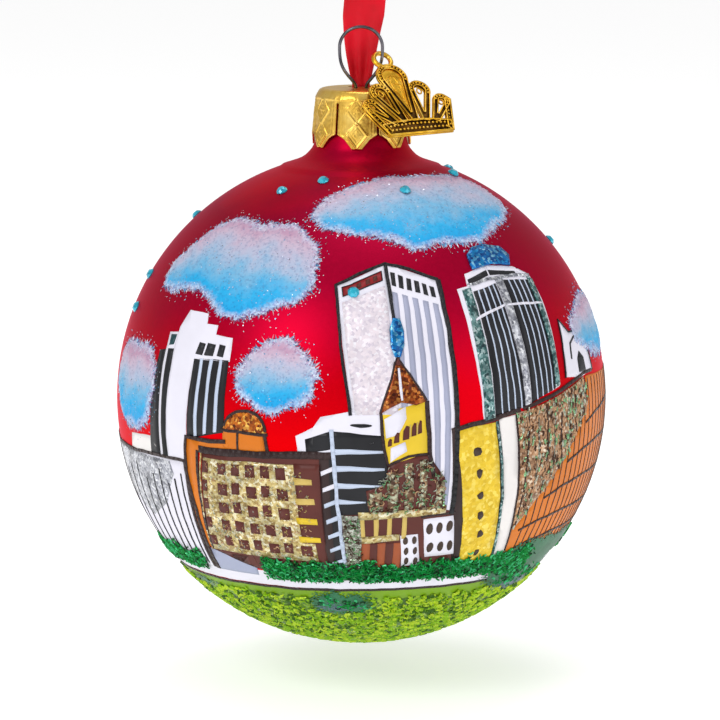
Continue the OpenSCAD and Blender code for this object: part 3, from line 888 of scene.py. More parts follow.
# the far side: more of the same street
block("back_green_tower", [(99, 24), (111, 24), (111, -35), (99, -35)], TEAL, PALE, 4, 13)
block("back_cream_house", [(112, 2), (128, 2), (128, -35), (112, -35)], G_CREAM, BROWN, 5, 8)
block("back_white_tower", [(129, 30), (141, 34), (141, -35), (129, -35)], WHITE, BLACK, 4, 15)
block("back_rust_hall", [(142, -6), (162, -6), (162, -35), (142, -35)], RUST, TAN, 6, 5,
      roof=[(141.5, -6), (152, 2), (162.5, -6)])
block("back_black_tower", [(163, 20), (174, 22), (174, -35), (163, -35)], BLACK, PALE, 5, 12)
block("back_yellow_house", [(175, 0), (191, 0), (191, -35), (175, -35)], G_YELLOW, WINDOW, 4, 6)
block("back_orange_tower", [(192, 16), (204, 14), (204, -35), (192, -35)], ORANGE, OUTLINE, 4, 10,
      roof=[(192, 16), (198, 27), (204, 14)])
block("back_sand_block", [(205, 4), (222, 4), (222, -35), (205, -35)], G_TANB, BROWN, 5, 7)
block("back_grey_tower", [(223, 26), (235, 22), (235, -35), (223, -35)], GREY, BLACK, 3, 13)
block("back_brown_house", [(236, -2), (252, -2), (252, -35), (236, -35)], BROWN, TAN, 5, 6)
block("back_pale_house", [(253, 8), (263, 8), (263, -35), (253, -35)], WARM_WHITE, TEAL, 3, 8)
block("back_low_house", [(264, -8), (276, -8), (276, -35.5), (264, -35)], YELLOW, BROWN, 4, 5)


# ---------------------------------------------------------------- glitter clouds, hedges, lawn
def cloud_mat():
    """airbrushed cyan under white and lilac glitter; the red shows through at the top and along the rim"""
    m, t, p = nodes_of("cloud_glitter")
    uv = new(t, "ShaderNodeUVMap", uv_map="place")
    sep0 = new(t, "ShaderNodeSeparateXYZ")
    t.links.new(uv.outputs[0], sep0.inputs[0])

    def shaken(src, scale, amount):
        n = obj_noise(t, scale, 4, 0.65)
        mad = new(t, "ShaderNodeMath", operation="MULTIPLY_ADD")
        mad.inputs[1].default_value, mad.inputs[2].default_value = amount, -amount / 2
        t.links.new(n.outputs["Fac"], mad.inputs[0])
        add = new(t, "ShaderNodeMath", operation="ADD")
        t.links.new(src, add.inputs[0])
        t.links.new(mad.outputs[0], add.inputs[1])
        return add.outputs[0]

    r = ramp(t, [(0.0, srgb(0, 160, 224)), (0.26, srgb(34, 172, 226)), (0.46, srgb(118, 180, 216)),
                 (0.66, srgb(176, 186, 210)), (0.86, srgb(200, 178, 198)), (1.0, srgb(190, 150, 176))])
    t.links.new(shaken(sep0.outputs[1], 240, 0.5), r.inputs[0])
    rim = ramp(t, [(0.0, (0.9, 0.9, 0.9, 1)), (0.22, (0.6, 0.6, 0.6, 1)), (0.55, (0, 0, 0, 1))])
    t.links.new(shaken(sep0.outputs[0], 700, 0.7), rim.inputs[0])
    co = new(t, "ShaderNodeTexCoord")
    v = new(t, "ShaderNodeTexVoronoi", feature="F1")
    v.inputs["Scale"].default_value = 3200
    t.links.new(co.outputs["Object"], v.inputs["Vector"])
    sep = new(t, "ShaderNodeSeparateColor")
    t.links.new(v.outputs["Color"], sep.inputs[0])
    speck = ramp(t, [(0.0, srgb(138, 80, 126)), (0.18, srgb(180, 160, 196)), (0.5, srgb(186, 198, 222)),
                     (1.0, srgb(222, 226, 240))])
    t.links.new(sep.outputs[0], speck.inputs[0])
    col = mix_rgb(t, rim.outputs[0], r.outputs[0], speck.outputs[0])
    tint = ramp(t, [(0.0, (0.7, 0.74, 0.82, 1)), (0.3, (0.93, 0.95, 0.98, 1)), (1.0, (1, 1, 1, 1))])
    t.links.new(sep.outputs[1], tint.inputs[0])
    t.links.new(mix_rgb(t, 1.0, col, tint.outputs[0], "MULTIPLY"), p.inputs["Base Color"])
    rough_from(t, p, sep.outputs[1], 0.35, 0.75)
    bump(t, p, sep.outputs[2], 0.45, 0.0001)
    settings(p, {"Metallic": 0.05, "Specular IOR Level": 0.3, "Coat Weight": 0.08, "Coat Roughness": 0.15})
    return m


CLOUD = cloud_mat()
F_WHITE = flake_mat("flake_white", (214, 216, 234), 0.1, 0.25)
F_BLUE = flake_mat("flake_blue", (96, 178, 224), 0.3, 0.25)
F_PALE = flake_mat("flake_lilac", (170, 168, 204), 0.2, 0.25)
F_SILVER = flake_mat("flake_silver", (200, 204, 216), 0.85, 0.18)
F_PLUM = flake_mat("flake_plum", (140, 60, 110), 0.3, 0.3)
CRUST = 0.43  # mm: the highest a glitter patch stands over the glass
CELL = 0.36  # mm: the grid of a cloud
MELT = 1.5  # mm: how far the lobes of a cloud melt into each other
MARGIN = 1.5  # mm: kept free round the lobes
RIM = 0.9  # mm: the brushed edge starts this far inside
STROKE = ((0, 1, 3, 5), (0, 5, 4, 2), (5, 3, 6), (5, 6, 4), (0, 2, 1), (1, 2, 4, 6, 3))  # sides of one stroke


def brush_edge(node, strokes, depth, place):
    """thin wedges brushed outwards over the edge of a cloud"""
    verts, faces, idx = [], [], []
    for ax, ay, bx, by, w, h in strokes:
        d2 = Vector((bx - ax, by - ay)).normalized() * w
        k = len(verts)
        lift = 0.16 if depth(ax, ay) > 0.15 else h
        mx, my = (ax + bx) / 2, (ay + by) / 2
        for px, py, hh in ((ax, ay, lift), (ax - d2.y, ay + d2.x, SUNK), (ax + d2.y, ay - d2.x, SUNK),
                           (mx - d2.y, my + d2.x, SUNK), (mx + d2.y, my - d2.x, SUNK), (mx, my, h),
                           (bx, by, -0.01)):
            verts.append(place(px, py, hh))
        faces += [[k + c for c in side[::-1]] for side in STROKE]
        idx += [rng.choice((0, 0, 1, 1, 2, 2, 3, 3, 3))] * 6
    ob = link_mesh(node + "_brush_edge", verts, faces, [F_WHITE, F_PALE, F_BLUE, F_PLUM], idx)
    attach(ob, "ball")


def cloud(node, lon, lat, lobes):
    """a dabbed cloud: a fine grid over the lobes, kept where a rough rounded outline says so"""
    d, e, n = frame_at(lon, lat)
    seed = Vector((lon * 0.7, lat * 0.9, 1.3))

    def depth(x, y):
        """how far inside the outline this place is, in mm"""
        reach = sum(math.exp((l[2] - math.hypot(x - l[0], y - l[1])) / MELT) for l in lobes)
        k = MELT * math.log(reach) - 0.5
        v = Vector((x, y, 0))
        k += 0.6 * noise.noise(v * 0.4 + seed)
        return k + 0.3 * noise.noise(v * 1.5 + seed) + 0.28 * noise.noise(v * 4.2 + seed)

    def place(x, y, h):
        w = d * R + e * (x * MM) + n * (y * MM)
        return BALL + w.normalized() * (R + h * MM)

    x0, x1 = min(l[0] - l[2] for l in lobes) - MARGIN, max(l[0] + l[2] for l in lobes) + MARGIN
    y0, y1 = min(l[1] - l[2] for l in lobes) - MARGIN, max(l[1] + l[2] for l in lobes) + MARGIN
    nx, ny = int((x1 - x0) / CELL) + 1, int((y1 - y0) / CELL) + 1

    def at(i, j):
        return (x0 + i * CELL, y0 + j * CELL)

    keep = {(i, j) for i in range(nx) for j in range(ny) if depth(*at(i + 0.5, j + 0.5)) > 0}
    bm = bmesh.new()
    uv = bm.loops.layers.uv.new("place")
    vert, base, low, tall, deep = {}, {}, {}, {}, {}

    def rise(x, y):
        k = depth(x, y)
        v = Vector((x, y, 0))
        h = 0.1 + 0.2 * max(0, min(1, k / 1.1)) ** 0.6
        return min(CRUST, max(0.06, h + 0.13 * noise.noise(v * 1.5 + seed)
                              + 0.09 * noise.noise(v * 4.4 + seed)))

    def lobe_height(x, y):
        """0 at the foot of the puff this place belongs to, 1 at its top"""
        pull = [math.exp((l[2] - math.hypot(x - l[0], y - l[1])) / 2.2) for l in lobes]
        a = sum(w * ((y - l[1]) / (2 * l[2]) + 0.5) for w, l in zip(pull, lobes)) / sum(pull)
        b = (y - y0 - MARGIN) / (y1 - y0 - 2 * MARGIN)
        return max(0.0, min(1.0, 0.55 * a + 0.55 * b))

    def top_vert(i, j):
        if (i, j) not in vert:
            x, y = at(i, j)
            jx = 0.16 * noise.noise(Vector((x * 3, y * 3, 5)) + seed)
            jy = 0.16 * noise.noise(Vector((x * 3, y * 3, 8)) + seed)
            vert[i, j] = bm.verts.new(place(x + jx, y + jy, rise(x, y)))
            low[i, j] = (x + jx, y + jy)
            tall[vert[i, j]] = lobe_height(x, y)
            deep[vert[i, j]] = max(0.0, min(1.0, depth(x, y) / 2.6))
        return vert[i, j]

    def low_vert(i, j):
        if (i, j) not in base:
            base[i, j] = bm.verts.new(place(*low[i, j], SUNK))
            tall[base[i, j]], deep[base[i, j]] = tall[vert[i, j]], 0.0
        return base[i, j]

    for i, j in sorted(keep):
        square = [top_vert(*c) for c in ((i, j), (i + 1, j), (i + 1, j + 1), (i, j + 1))]
        bm.faces.new(square).smooth = True
    for i, j in sorted(keep):
        for a, b, other in (((i, j), (i + 1, j), (i, j - 1)), ((i + 1, j), (i + 1, j + 1), (i + 1, j)),
                            ((i + 1, j + 1), (i, j + 1), (i, j + 1)), ((i, j + 1), (i, j), (i - 1, j))):
            if other not in keep:
                bm.faces.new([vert[b], vert[a], low_vert(*a), low_vert(*b)])
    for f in bm.faces:
        for lp in f.loops:
            lp[uv].uv = (deep[lp.vert], tall[lp.vert])
    ob = link_bmesh(node + "_glitter", bm, [CLOUD])
    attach(ob, "ball")
    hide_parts(node)
    spots, strokes = [], []
    for i, j in sorted(keep):
        x, y = at(i + 0.5, j + 0.5)
        k = depth(x, y)
        if rng.random() < (0.34 if k < 1.2 else 0.1):
            dx, dy = rng.uniform(-0.2, 0.2), rng.uniform(-0.2, 0.2)
            q = place(x + dx, y + dy, rise(x, y) + rng.uniform(0.0, 0.04))
            spots.append((q, (q - BALL).normalized()))
        if k < RIM:
            gx, gy = depth(x - 0.3, y) - depth(x + 0.3, y), depth(x, y - 0.3) - depth(x, y + 0.3)
            a = math.atan2(gy, gx)
            for _ in range(2):
                b = a + rng.gauss(0, 0.5)
                r0, r1 = rng.uniform(-0.5, 0.3), rng.uniform(0.5, 1.25)
                strokes.append((x + r0 * math.cos(b), y + r0 * math.sin(b),
                                x + r1 * math.cos(b + rng.gauss(0, 0.25)), y + r1 * math.sin(b),
                                rng.uniform(0.07, 0.15), rng.uniform(0.05, 0.16)))
            if rng.random() < 0.3:
                r1 = rng.uniform(1.0, 2.4)
                q = place(x + r1 * math.cos(a), y + r1 * math.sin(a), 0.05)
                spots.append((q, (q - BALL).normalized()))
    flakes(node + "_flakes", spots, 0.24, [F_WHITE, F_PALE, F_BLUE, F_SILVER, F_WHITE], 0.4)
    brush_edge(node, strokes, depth, place)


CLOUDS = {
    "cloud_upper_left": (-40, 38.5, [(0, 0.5, 7.2), (-7.5, 1.2, 6.2), (7.2, 0.4, 6.8), (-13.5, -1.4, 4.2),
                                     (12.2, -1, 4.6), (4.4, -4.6, 5.4), (6.5, 5, 4.6), (-4, 5.2, 4.6),
                                     (10.4, 3.6, 4.2)]),
    "cloud_top": (22, 55, [(0, 1, 7.6), (-7.5, 1.4, 6), (-13, 3, 3.6), (-15.8, 3.6, 2.2), (8.2, 1.8, 7.2),
                           (15, 5, 5.6), (1.5, 5, 5), (8, 6.8, 4.9), (14.5, 10.5, 4.6), (-3, 5, 5.2),
                           (-9.6, 4.6, 4), (-1, -3.6, 4.4), (19, 8.5, 3.4), (7, -2.4, 4.6)]),
    "cloud_left": (-67, 6.5, [(0, 0, 5), (-4.5, 1.5, 4.6), (4, 1.5, 3.8), (-3, 2.5, 4.2), (3.5, 2.7, 3.9),
                              (-2, -2.5, 4.2), (3.2, -2.8, 3.8)]),
    "cloud_middle": (-19.7, 13.2, [(0, 0, 4.6), (-3.6, -0.6, 3.6), (3.6, -0.3, 3.4), (0.4, 2.6, 3.4),
                                   (-0.6, -2.4, 3.4)]),
    "cloud_right": (80, 18.5, [(0, 0, 5.2), (-6.2, 0.6, 3.8), (-10, 0.8, 2.6), (6.6, 1, 4.4), (-2, 1.8, 4)]),
    "cloud_back_left": (-135, 34, [(0, 0, 6.2), (-7.6, -1, 5), (7.4, -0.6, 5.2), (1.6, 4.8, 4.4),
                                   (13, -2, 3.4)]),
    "cloud_back_right": (128, 42, [(0, 0, 6), (-7, -1.4, 4.8), (7.4, 0.8, 5.2), (0, 4.8, 4.2),
                                   (-12, -2, 3.2)]),
    "cloud_back_top": (178, 16, [(0, 0, 5.2), (-6.2, -0.8, 4.2), (6.2, -0.4, 4.4), (0.6, 4, 3.8)]),
}
for node, (lon, lat, lobes) in CLOUDS.items():
    cloud(node, lon, lat, lobes)


HEDGE_FOOT = -36.9  # latitude
HEDGE_CELL = 0.55  # degrees


def hedge(node, lon0, lon1, top):
    """a strip of clumped glitter from the foot of the hedges up to an uneven latitude"""
    n = int((lon1 - lon0) / HEDGE_CELL)
    rows = max(3, int((top(lon0) - HEDGE_FOOT) / (HEDGE_CELL * 0.8)))
    verts = []
    for j in range(rows + 3):
        for i in range(n + 1):
            lon = lon0 + (lon1 - lon0) * i / n
            t = min(1, max(0, (j - 1) / rows))
            end = min(1, i * 0.5, (n - i) * 0.5)
            lo, hi = HEDGE_FOOT, top(lon)
            lat = lo + (hi - lo) * (0.5 + (t - 0.5) * max(0.15, end))
            v = Vector((lon * 0.8, lat * 0.8, 2.7))
            h = 0.3 * (0.45 + 0.6 * math.sin(math.pi * min(0.93, max(0.07, t))))
            h += 0.16 * noise.noise(v * 1.2) + 0.1 * noise.noise(v * 3.1)
            verts.append(on_ball(lon, lat, max(0.05, min(0.56, h)) if 0 < j < rows + 2 else SUNK))
    ob = link_mesh(node + "_glitter", verts, grid_faces(rows + 2, n), [G_GREEN], smooth=True)
    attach(ob, "ball")
    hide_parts(node)


HEDGE_WAVES = ((0.9, 0.21, 0), (0.6, 0.75, 4), (0.35, 1.9, 7))


def hedge_top(base, amp, seed):
    """the uneven upper edge of a hedge, as a function of the longitude"""
    def top(lon):
        return base + amp * sum(k * noise.noise(Vector((lon * f, seed, z))) for k, f, z in HEDGE_WAVES)

    return top


F_GREEN = flake_mat("flake_green", (0, 138, 54), 0.2, 0.42)
F_LEAF = flake_mat("flake_leaf", (0, 164, 70), 0.2, 0.42)
F_DARK = flake_mat("flake_dark_green", (0, 62, 24), 0.2, 0.42)
F_MINT = flake_mat("flake_mint", (70, 200, 130), 0.3, 0.3)
F_OLIVE = flake_mat("flake_olive", (64, 112, 6), 0.1, 0.4)
F_LIME = flake_mat("flake_lime", (150, 200, 14), 0.1, 0.4)
F_LEMON = flake_mat("flake_lemon", (198, 228, 44), 0.1, 0.4)
for node, a, b, base in (("hedge_front", -28, 54, -32.2), ("hedge_left", -76, -48.5, -33.4),
                         ("hedge_back", 84, 268, -31.8)):
    top = hedge_top(base, 3.4, a)
    hedge(node, a, b, top)
    spots = []
    for _ in range(int((b - a) * 17)):
        lon = rng.uniform(a + 0.5, b - 0.5)
        lat = rng.uniform(-37.4, top(lon) + 0.7)
        spots.append((lon, lat, rng.uniform(0.14, 0.4)))
    curls(node + "_threads", spots, [F_GREEN, F_LEAF, F_DARK, F_GREEN, F_MINT], 0.85)


DOT, SOFT = 0.26, 1.6  # mm: one dot of the airbrush, and the width of its edge


def mist(name, blobs, mat, h):
    """airbrushed shade that breaks up into dots; blobs are (longitude, latitude, two radii in mm)"""
    verts, faces = [], []
    for lon, lat, rx, ry in blobs:
        d, e, n = frame_at(lon, lat)
        for i in range(int(-rx / DOT) - 8, int(rx / DOT) + 9):
            for j in range(int(-ry / DOT) - 8, int(ry / DOT) + 9):
                x, y = i * DOT, j * DOT
                k = (1 - math.hypot(x / rx, y / ry)) * min(rx, ry) / SOFT
                if k + 0.5 * noise.noise(Vector((x * 0.5, y * 0.5, lon))) < rng.random():
                    continue
                at = len(verts)
                for px, py in ((0, 0), (1, 0), (1, 1), (0, 1)):
                    w = d * (R / MM) + e * (x + px * DOT * 1.02) + n * (y + py * DOT * 1.02)
                    verts.append(BALL + w.normalized() * (R + h * MM))
                faces.append([at, at + 1, at + 2, at + 3])
    ob = link_mesh(name, verts, faces, [mat])
    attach(ob, "ball")


MM_PER_DEGREE = 0.724  # along the ball
SHADES = [(-7, -46, 6.6, 3.8), (55, -37.5, 11, 6.5), (72, -33, 7, 3.4), (-60, -44, 5, 1.6), (110, -45, 9, 3),
          (178, -46, 8, 3), (240, -45, 8, 3)]


def shaded(lon, lat):
    """1 inside an airbrushed patch, falling to 0 at its edge"""
    best = 0
    for a, b, rx, ry in SHADES:
        x = ((lon - a + 180) % 360 - 180) * cosd(lat) * MM_PER_DEGREE
        best = max(best, 1 - math.hypot(x / rx, (lat - b) * MM_PER_DEGREE / ry))
    return min(1, best * 2.5)


mist("green_mist", SHADES, MURK, 0.2)
mist("slate_mist", [(57, -44.5, 5.5, 2.2), (-8, -48, 4.6, 1.6)], SLATE, 0.23)


def lawn():
    """the curled glitter grass: ridges that wander round the foot of the ball"""
    n, rows = 420, 92
    verts, faces = [], []
    for j in range(rows + 1):
        t = j / rows
        for i in range(n):
            lon = 360 * i / n
            c, s = cosd(lon), sind(lon)
            edge_lat = -43.6 + 1.1 * noise.noise(Vector((c * 3.2, s * 3.2, 0)))
            edge_lat += 0.7 * noise.noise(Vector((c * 11, s * 11, 5)))
            lat = edge_lat + (-90 - edge_lat) * t
            v = on_ball(lon, max(lat, -89.9), 0) * 1000
            warp = Vector((noise.noise(v * 0.33), noise.noise(v * 0.33 + Vector((7, 1, 3))),
                           noise.noise(v * 0.33 + Vector((2, 9, 5)))))
            w = v + warp * 1.7
            ridge = 1 - abs(noise.noise(w * 0.72)) * 3.0
            h = 0.1 + 0.27 * max(0, ridge) + 0.05 * noise.noise(v * 2.4)
            h = min(CRUST, max(0.05, h)) * (1 - 0.8 * shaded(lon, lat)) if j else SUNK
            verts.append(on_ball(lon, max(lat, -89.9), h))
    for j in range(rows):
        for i in range(n):
            a, b = j * n + i, j * n + (i + 1) % n
            faces.append([a + n, b + n, b, a])
    ob = link_mesh("lawn_glitter", verts, faces, [G_LIME], smooth=True)
    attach(ob, "ball")
    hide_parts("lawn")
    spots = []
    for _ in range(6800):
        lon = rng.uniform(0, 360)
        lat = -math.degrees(math.asin(rng.uniform(sind(43.4), 0.9999)))
        if shaded(lon, lat) > rng.uniform(0, 0.5):
            continue
        spots.append((lon, lat, rng.uniform(0.12, 0.3)))
    curls("lawn_threads", spots, [F_LIME, F_LEMON, F_LIME, F_LEMON, F_OLIVE], 1.05)
    clumps = ((-9, -45, 22), (-3, -46.5, 26), (47, -35, 150), (51, -39.5, 70), (62, -41, 20))
    spots = [(lon + rng.gauss(0, 3.2), lat + rng.gauss(0, 1.6), rng.uniform(0.1, 0.25))
             for lon, lat, n in clumps for _ in range(n)]
    curls("shade_threads", spots, [F_GREEN, F_LEAF, F_DARK, F_MINT], 0.8)


lawn()


# ---------------------------------------------------------------- stones
def stone_mat():
    m, t, p = nodes_of("turquoise_resin")
    n = obj_noise(t, 700, 3)
    r = ramp(t, [(0.3, srgb(0, 120, 150)), (0.55, srgb(10, 186, 214)), (0.75, srgb(120, 232, 246))])
    t.links.new(n.outputs["Fac"], r.inputs[0])
    t.links.new(r.outputs[0], p.inputs["Base Color"])
    rough_from(t, p, n.outputs["Fac"], 0.06, 0.18)
    settings(p, {"Metallic": 0.35, "Coat Weight": 1.0, "Coat Roughness": 0.04})
    return m


GEMS = [(-42, 62, 0), (-23, 67.5, 0), (-84, 31, 0), (-80, 23, 0), (70, 67, 1), (22, 62.5, 1), (118, 66, 0),
        (150, 55, 0), (-170, 66, 0), (-130, 60, 0), (-100, 47, 0), (97, 39, 0), (172, 40, 0), (-150, 33, 1),
        (-109, 22, 0), (128, 30, 0), (-2, 33, 0)]
verts, faces = [], []
for lon, lat, up in GEMS:
    d, e, n = frame_at(lon, lat)
    k = len(verts)
    spin = rng.uniform(0, 0.8)
    base = R + (0.42 * up) * MM
    for r, h in ((0.95, 0.0), (1.0, 0.16), (0.8, 0.42), (0.5, 0.68)):
        for s in range(8):
            a = spin + (s + (0.5 if h == 0.42 else 0)) * math.pi / 4
            verts.append(BALL + d * (base + h * MM) + (e * math.cos(a) + n * math.sin(a)) * (r * MM))
    for ring in range(3):
        for s in range(8):
            a, b = k + ring * 8 + s, k + ring * 8 + (s + 1) % 8
            if ring == 0:
                faces.append([a, b, b + 8, a + 8])
            elif ring == 1:
                faces += [[a, b, a + 8], [b, b + 8, a + 8]]
            else:
                faces += [[a, b, b + 8], [a, b + 8, a + 8]]
    faces.append([k + 24 + s for s in range(8)])
gems = link_mesh("sky_gems_cut", verts, faces, [stone_mat()])
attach(gems, "ball")
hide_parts("sky_gems")


# ---------------------------------------------------------------- cap, wire, charm
def metal(key, dark, mid, light, rough, scale, hammer=0.0):
    m, t, p = nodes_of(key)
    n = obj_noise(t, scale, 4, 0.6)
    r = ramp(t, [(0.28, srgb(*dark)), (0.5, srgb(*mid)), (0.78, srgb(*light))])
    t.links.new(n.outputs["Fac"], r.inputs[0])
    t.links.new(r.outputs[0], p.inputs["Base Color"])
    f = obj_noise(t, 1800, 3)
    rough_from(t, p, f.outputs["Fac"], rough - 0.08, rough + 0.14)
    bump(t, p, f.outputs["Fac"], 0.2 + hammer, 0.00006)
    p.inputs["Metallic"].default_value = 1.0
    return m


GOLD = metal("cap_gold", (206, 158, 58), (232, 188, 84), (246, 214, 122), 0.3, 260, 0.2)
STEEL = metal("wire_steel", (58, 56, 62), (96, 94, 100), (150, 146, 148), 0.2, 500)
ANTIQUE = metal("charm_gold", (176, 128, 30), (226, 174, 50), (250, 214, 110), 0.3, 420, 0.12)
PATINA = metal("charm_patina", (34, 22, 10), (72, 48, 18), (134, 94, 34), 0.5, 420, 0.2)


LEAN = 12  # degrees the wire loop leans forward
LOOP_R, LOOP_MID = 3.6, 7.02  # mm: radius of the loop and the height of its centre
WIRE_R = 0.28  # mm


def lean(x, h):
    """a point in the leaning plane of the wire loop, h mm up from the cap"""
    return Vector((x * MM, -sind(LEAN) * h * MM, TOP + cosd(LEAN) * h * MM))


PANELS = 7
PANEL = 2 * math.pi / PANELS
FIRST = math.radians(-5)  # where the first joint between two panels is
SHEET = 0.35  # mm: thickness of the cap's metal
SHOULDER, SKIRT = -1.35, 8.25  # mm: where the skirt starts, and how far it goes down
SLIT_TOP, TOOTH_TOP, TOOTH = -2.1, -7.3, 2.3  # mm: the slits, and the scalloped teeth under them


CAP_PROFILE = [(0.0, 6.35), (-0.07, 6.72), (-0.22, 7.0), (-0.42, 7.15), (-0.8, 7.4), (SHOULDER, 7.6)]


def cap_radius(z):
    for (z0, r0), (z1, r1) in zip(CAP_PROFILE, CAP_PROFILE[1:]):
        if z >= z1:
            return r0 + (r1 - r0) * (z0 - z) / (z0 - z1)
    return 7.6 + 0.8 * (SHOULDER - z) / SKIRT


def cap_pattern(u, z):
    """u in mm from the panel's middle: two chained diamonds with double outlines between ribs"""
    h = 0.0
    for mid, tall in ((-3.35, 2.2), (-7.35, 2.15)):
        m = abs(u) / 1.7 + abs(z - mid) / tall
        h += 0.2 * max(0, 1 - abs(m - 0.98) / 0.16) + 0.1 * max(0, 1 - abs(m - 0.62) / 0.13)
        if m < 0.45:
            h += 0.14 * (0.5 + noise.noise(Vector((u * 2.6, z * 2.6, 3))))
    for at, w, k in ((2.9, 0.24, 0.15), (2.35, 0.18, 0.1)):
        h += k * max(0, 1 - abs(abs(u) - at) / w) if -7.8 < z < -1.5 else 0
    h += 0.12 * max(0, 1 - abs(z + 1.3) / 0.35)
    return h - 0.04


def cap_gap(z):
    """the half width in mm that is cut away at this height, at the joint between two panels"""
    if z > SLIT_TOP:
        return 0.0
    if z > TOOTH_TOP:
        return 0.22
    t = (TOOTH_TOP - z) / TOOTH
    return 0.22 + 1.15 * min(1, t / 0.3) ** 0.5 + 1.6 * max(0, (t - 0.2) / 0.8)


def cap_mesh():
    """a stamped cap: raised lozenges and ridged borders on seven panels, V gaps and slits between them"""
    n, rows = 336, 54  # columns round the cap, rows down its skirt
    zs = [z for z, _ in CAP_PROFILE[:-1]] + [SHOULDER - SKIRT * k / rows for k in range(rows + 1)]
    # each panel is its own strip below the slits, so the gap stays open
    per = n // PANELS
    faces = []
    verts = []
    rim_row = next(k for k, z in enumerate(zs) if z <= SLIT_TOP)

    def put(a, r, z):
        verts.append(Vector((math.sin(a) * r * MM, -math.cos(a) * r * MM, TOP + z * MM)))
        return len(verts) - 1

    for panel in range(PANELS):
        cols = []
        mid = FIRST + (panel + 1) * PANEL
        for i in range(per + 1):
            base = -PANEL / 2 + i * PANEL / per
            col = []
            for z in zs:
                r = cap_radius(z)
                half = PANEL / 2
                g = cap_gap(z) / r
                u = base * (half - g) / half
                w = u * r
                v = Vector((math.sin(mid + u) * r, -math.cos(mid + u) * r, z))
                rr = r + cap_pattern(w, z) + 0.035 * noise.noise(v * 1.6) + 0.018 * noise.noise(v * 4.0)
                rr = min(rr, r + 0.22) if z < -1.4 else min(rr, r + 0.05)
                col.append((put(mid + u, rr, z), put(mid + u, r - SHEET, z - (0.2 if z > -0.3 else 0))))
            cols.append(col)
        for i in range(per):
            for j in range(len(zs) - 1):
                a, b, c, d = cols[i][j], cols[i + 1][j], cols[i + 1][j + 1], cols[i][j + 1]
                faces.append([a[0], d[0], c[0], b[0]])
                faces.append([a[1], b[1], c[1], d[1]])
            a, b = cols[i][-1], cols[i + 1][-1]
            faces.append([a[0], a[1], b[1], b[0]])
        for j in range(rim_row, len(zs) - 1):
            for col, flip in ((cols[0], False), (cols[-1], True)):
                a, b = col[j], col[j + 1]
                f = [a[0], a[1], b[1], b[0]]
                faces.append(f[::-1] if flip else f)
    ob = link_mesh("stamped_cap", verts, faces, [GOLD], smooth=True)
    return ob


def cap_top():
    """the flat top with its two wire holes and the slot for the ribbon"""
    bm = bmesh.new()
    ringv = []
    for i in range(168):
        a = FIRST + PANEL / 2 + i * 2 * math.pi / 168
        ringv.append((math.sin(a) * 6.4, -math.cos(a) * 6.4))
    holes = [[(0.85 * s + 0.55 * math.cos(k * math.pi / 10), 0.55 * math.sin(k * math.pi / 10))
              for k in range(20)] for s in (-1, 1)]
    holes.append([(-2.1, 1.55), (2.1, 1.55), (2.1, 3.05), (-2.1, 3.05)])
    edges = []
    for loop in [ringv] + holes:
        vs = [bm.verts.new((x * MM, y * MM, 0)) for x, y in loop]
        edges += [bm.edges.new((vs[k], vs[(k + 1) % len(vs)])) for k in range(len(vs))]
    bmesh.ops.triangle_fill(bm, use_beauty=True, use_dissolve=False, edges=edges)
    for f in bm.faces:
        if f.normal.z < 0:
            f.normal_flip()
    top = bm.faces[:]
    ext = bmesh.ops.extrude_face_region(bm, geom=top, use_keep_orig=True)["geom"]
    for v in ext:
        if isinstance(v, bmesh.types.BMVert):
            v.co.z = -SHEET * MM
    bmesh.ops.recalc_face_normals(bm, faces=bm.faces)
    bmesh.ops.translate(bm, verts=bm.verts, vec=(0, 0, TOP))
    return link_bmesh("cap_top_plate", bm, [GOLD])


cap = cap_mesh()
plate = cap_top()
for ob in (cap, plate):
    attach(ob, "cap_and_tails")
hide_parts("cap")


def tube(path, radius, sides=12, closed=False, squash=None):
    """rings along a path of points in metres"""
    pts = [Vector(p) for p in path]
    n = len(pts)
    verts, faces = [], []
    up = None
    for i, p in enumerate(pts):
        a, b = (pts[i - 1], pts[(i + 1) % n]) if closed else (pts[max(0, i - 1)], pts[min(n - 1, i + 1)])
        t = (b - a).normalized()
        if up is None:
            up = t.orthogonal().normalized() if squash is None else Vector(squash)
        side = t.cross(up).normalized()
        up = side.cross(t).normalized() if squash is None else Vector(squash)
        side = t.cross(up).normalized()
        for k in range(sides):
            c = 2 * math.pi * k / sides
            verts.append(p + side * (radius * math.cos(c)) + up * (radius * math.sin(c)))
    for i in range(n if closed else n - 1):
        for k in range(sides):
            a, b = i * sides + k, i * sides + (k + 1) % sides
            c, d = (i + 1) % n * sides + k, (i + 1) % n * sides + (k + 1) % sides
            faces.append([a, b, d, c])
    if not closed:
        faces += [list(range(sides))[::-1], [(n - 1) * sides + k for k in range(sides)]]
    return verts, faces


def join(parts):
    """parts are (verts, faces, material index)"""
    verts, faces, idx = [], [], []
    for v, f, m in parts:
        k = len(verts)
        verts += v
        faces += [[i + k for i in g] for g in f]
        idx += [m] * len(f)
    return verts, faces, idx


def smooth_path(pts, per=6):
    out = []
    pts = [Vector(p) for p in pts]
    for i in range(len(pts) - 1):
        p0, p1, p2, p3 = pts[max(0, i - 1)], pts[i], pts[i + 1], pts[min(len(pts) - 1, i + 2)]
        for k in range(per):
            t = k / per
            out.append(0.5 * ((2 * p1) + (p2 - p0) * t + (2 * p0 - 5 * p1 + 4 * p2 - p3) * t * t
                              + (3 * p1 - p0 - 3 * p2 + p3) * t * t * t))
    return out + [pts[-1]]


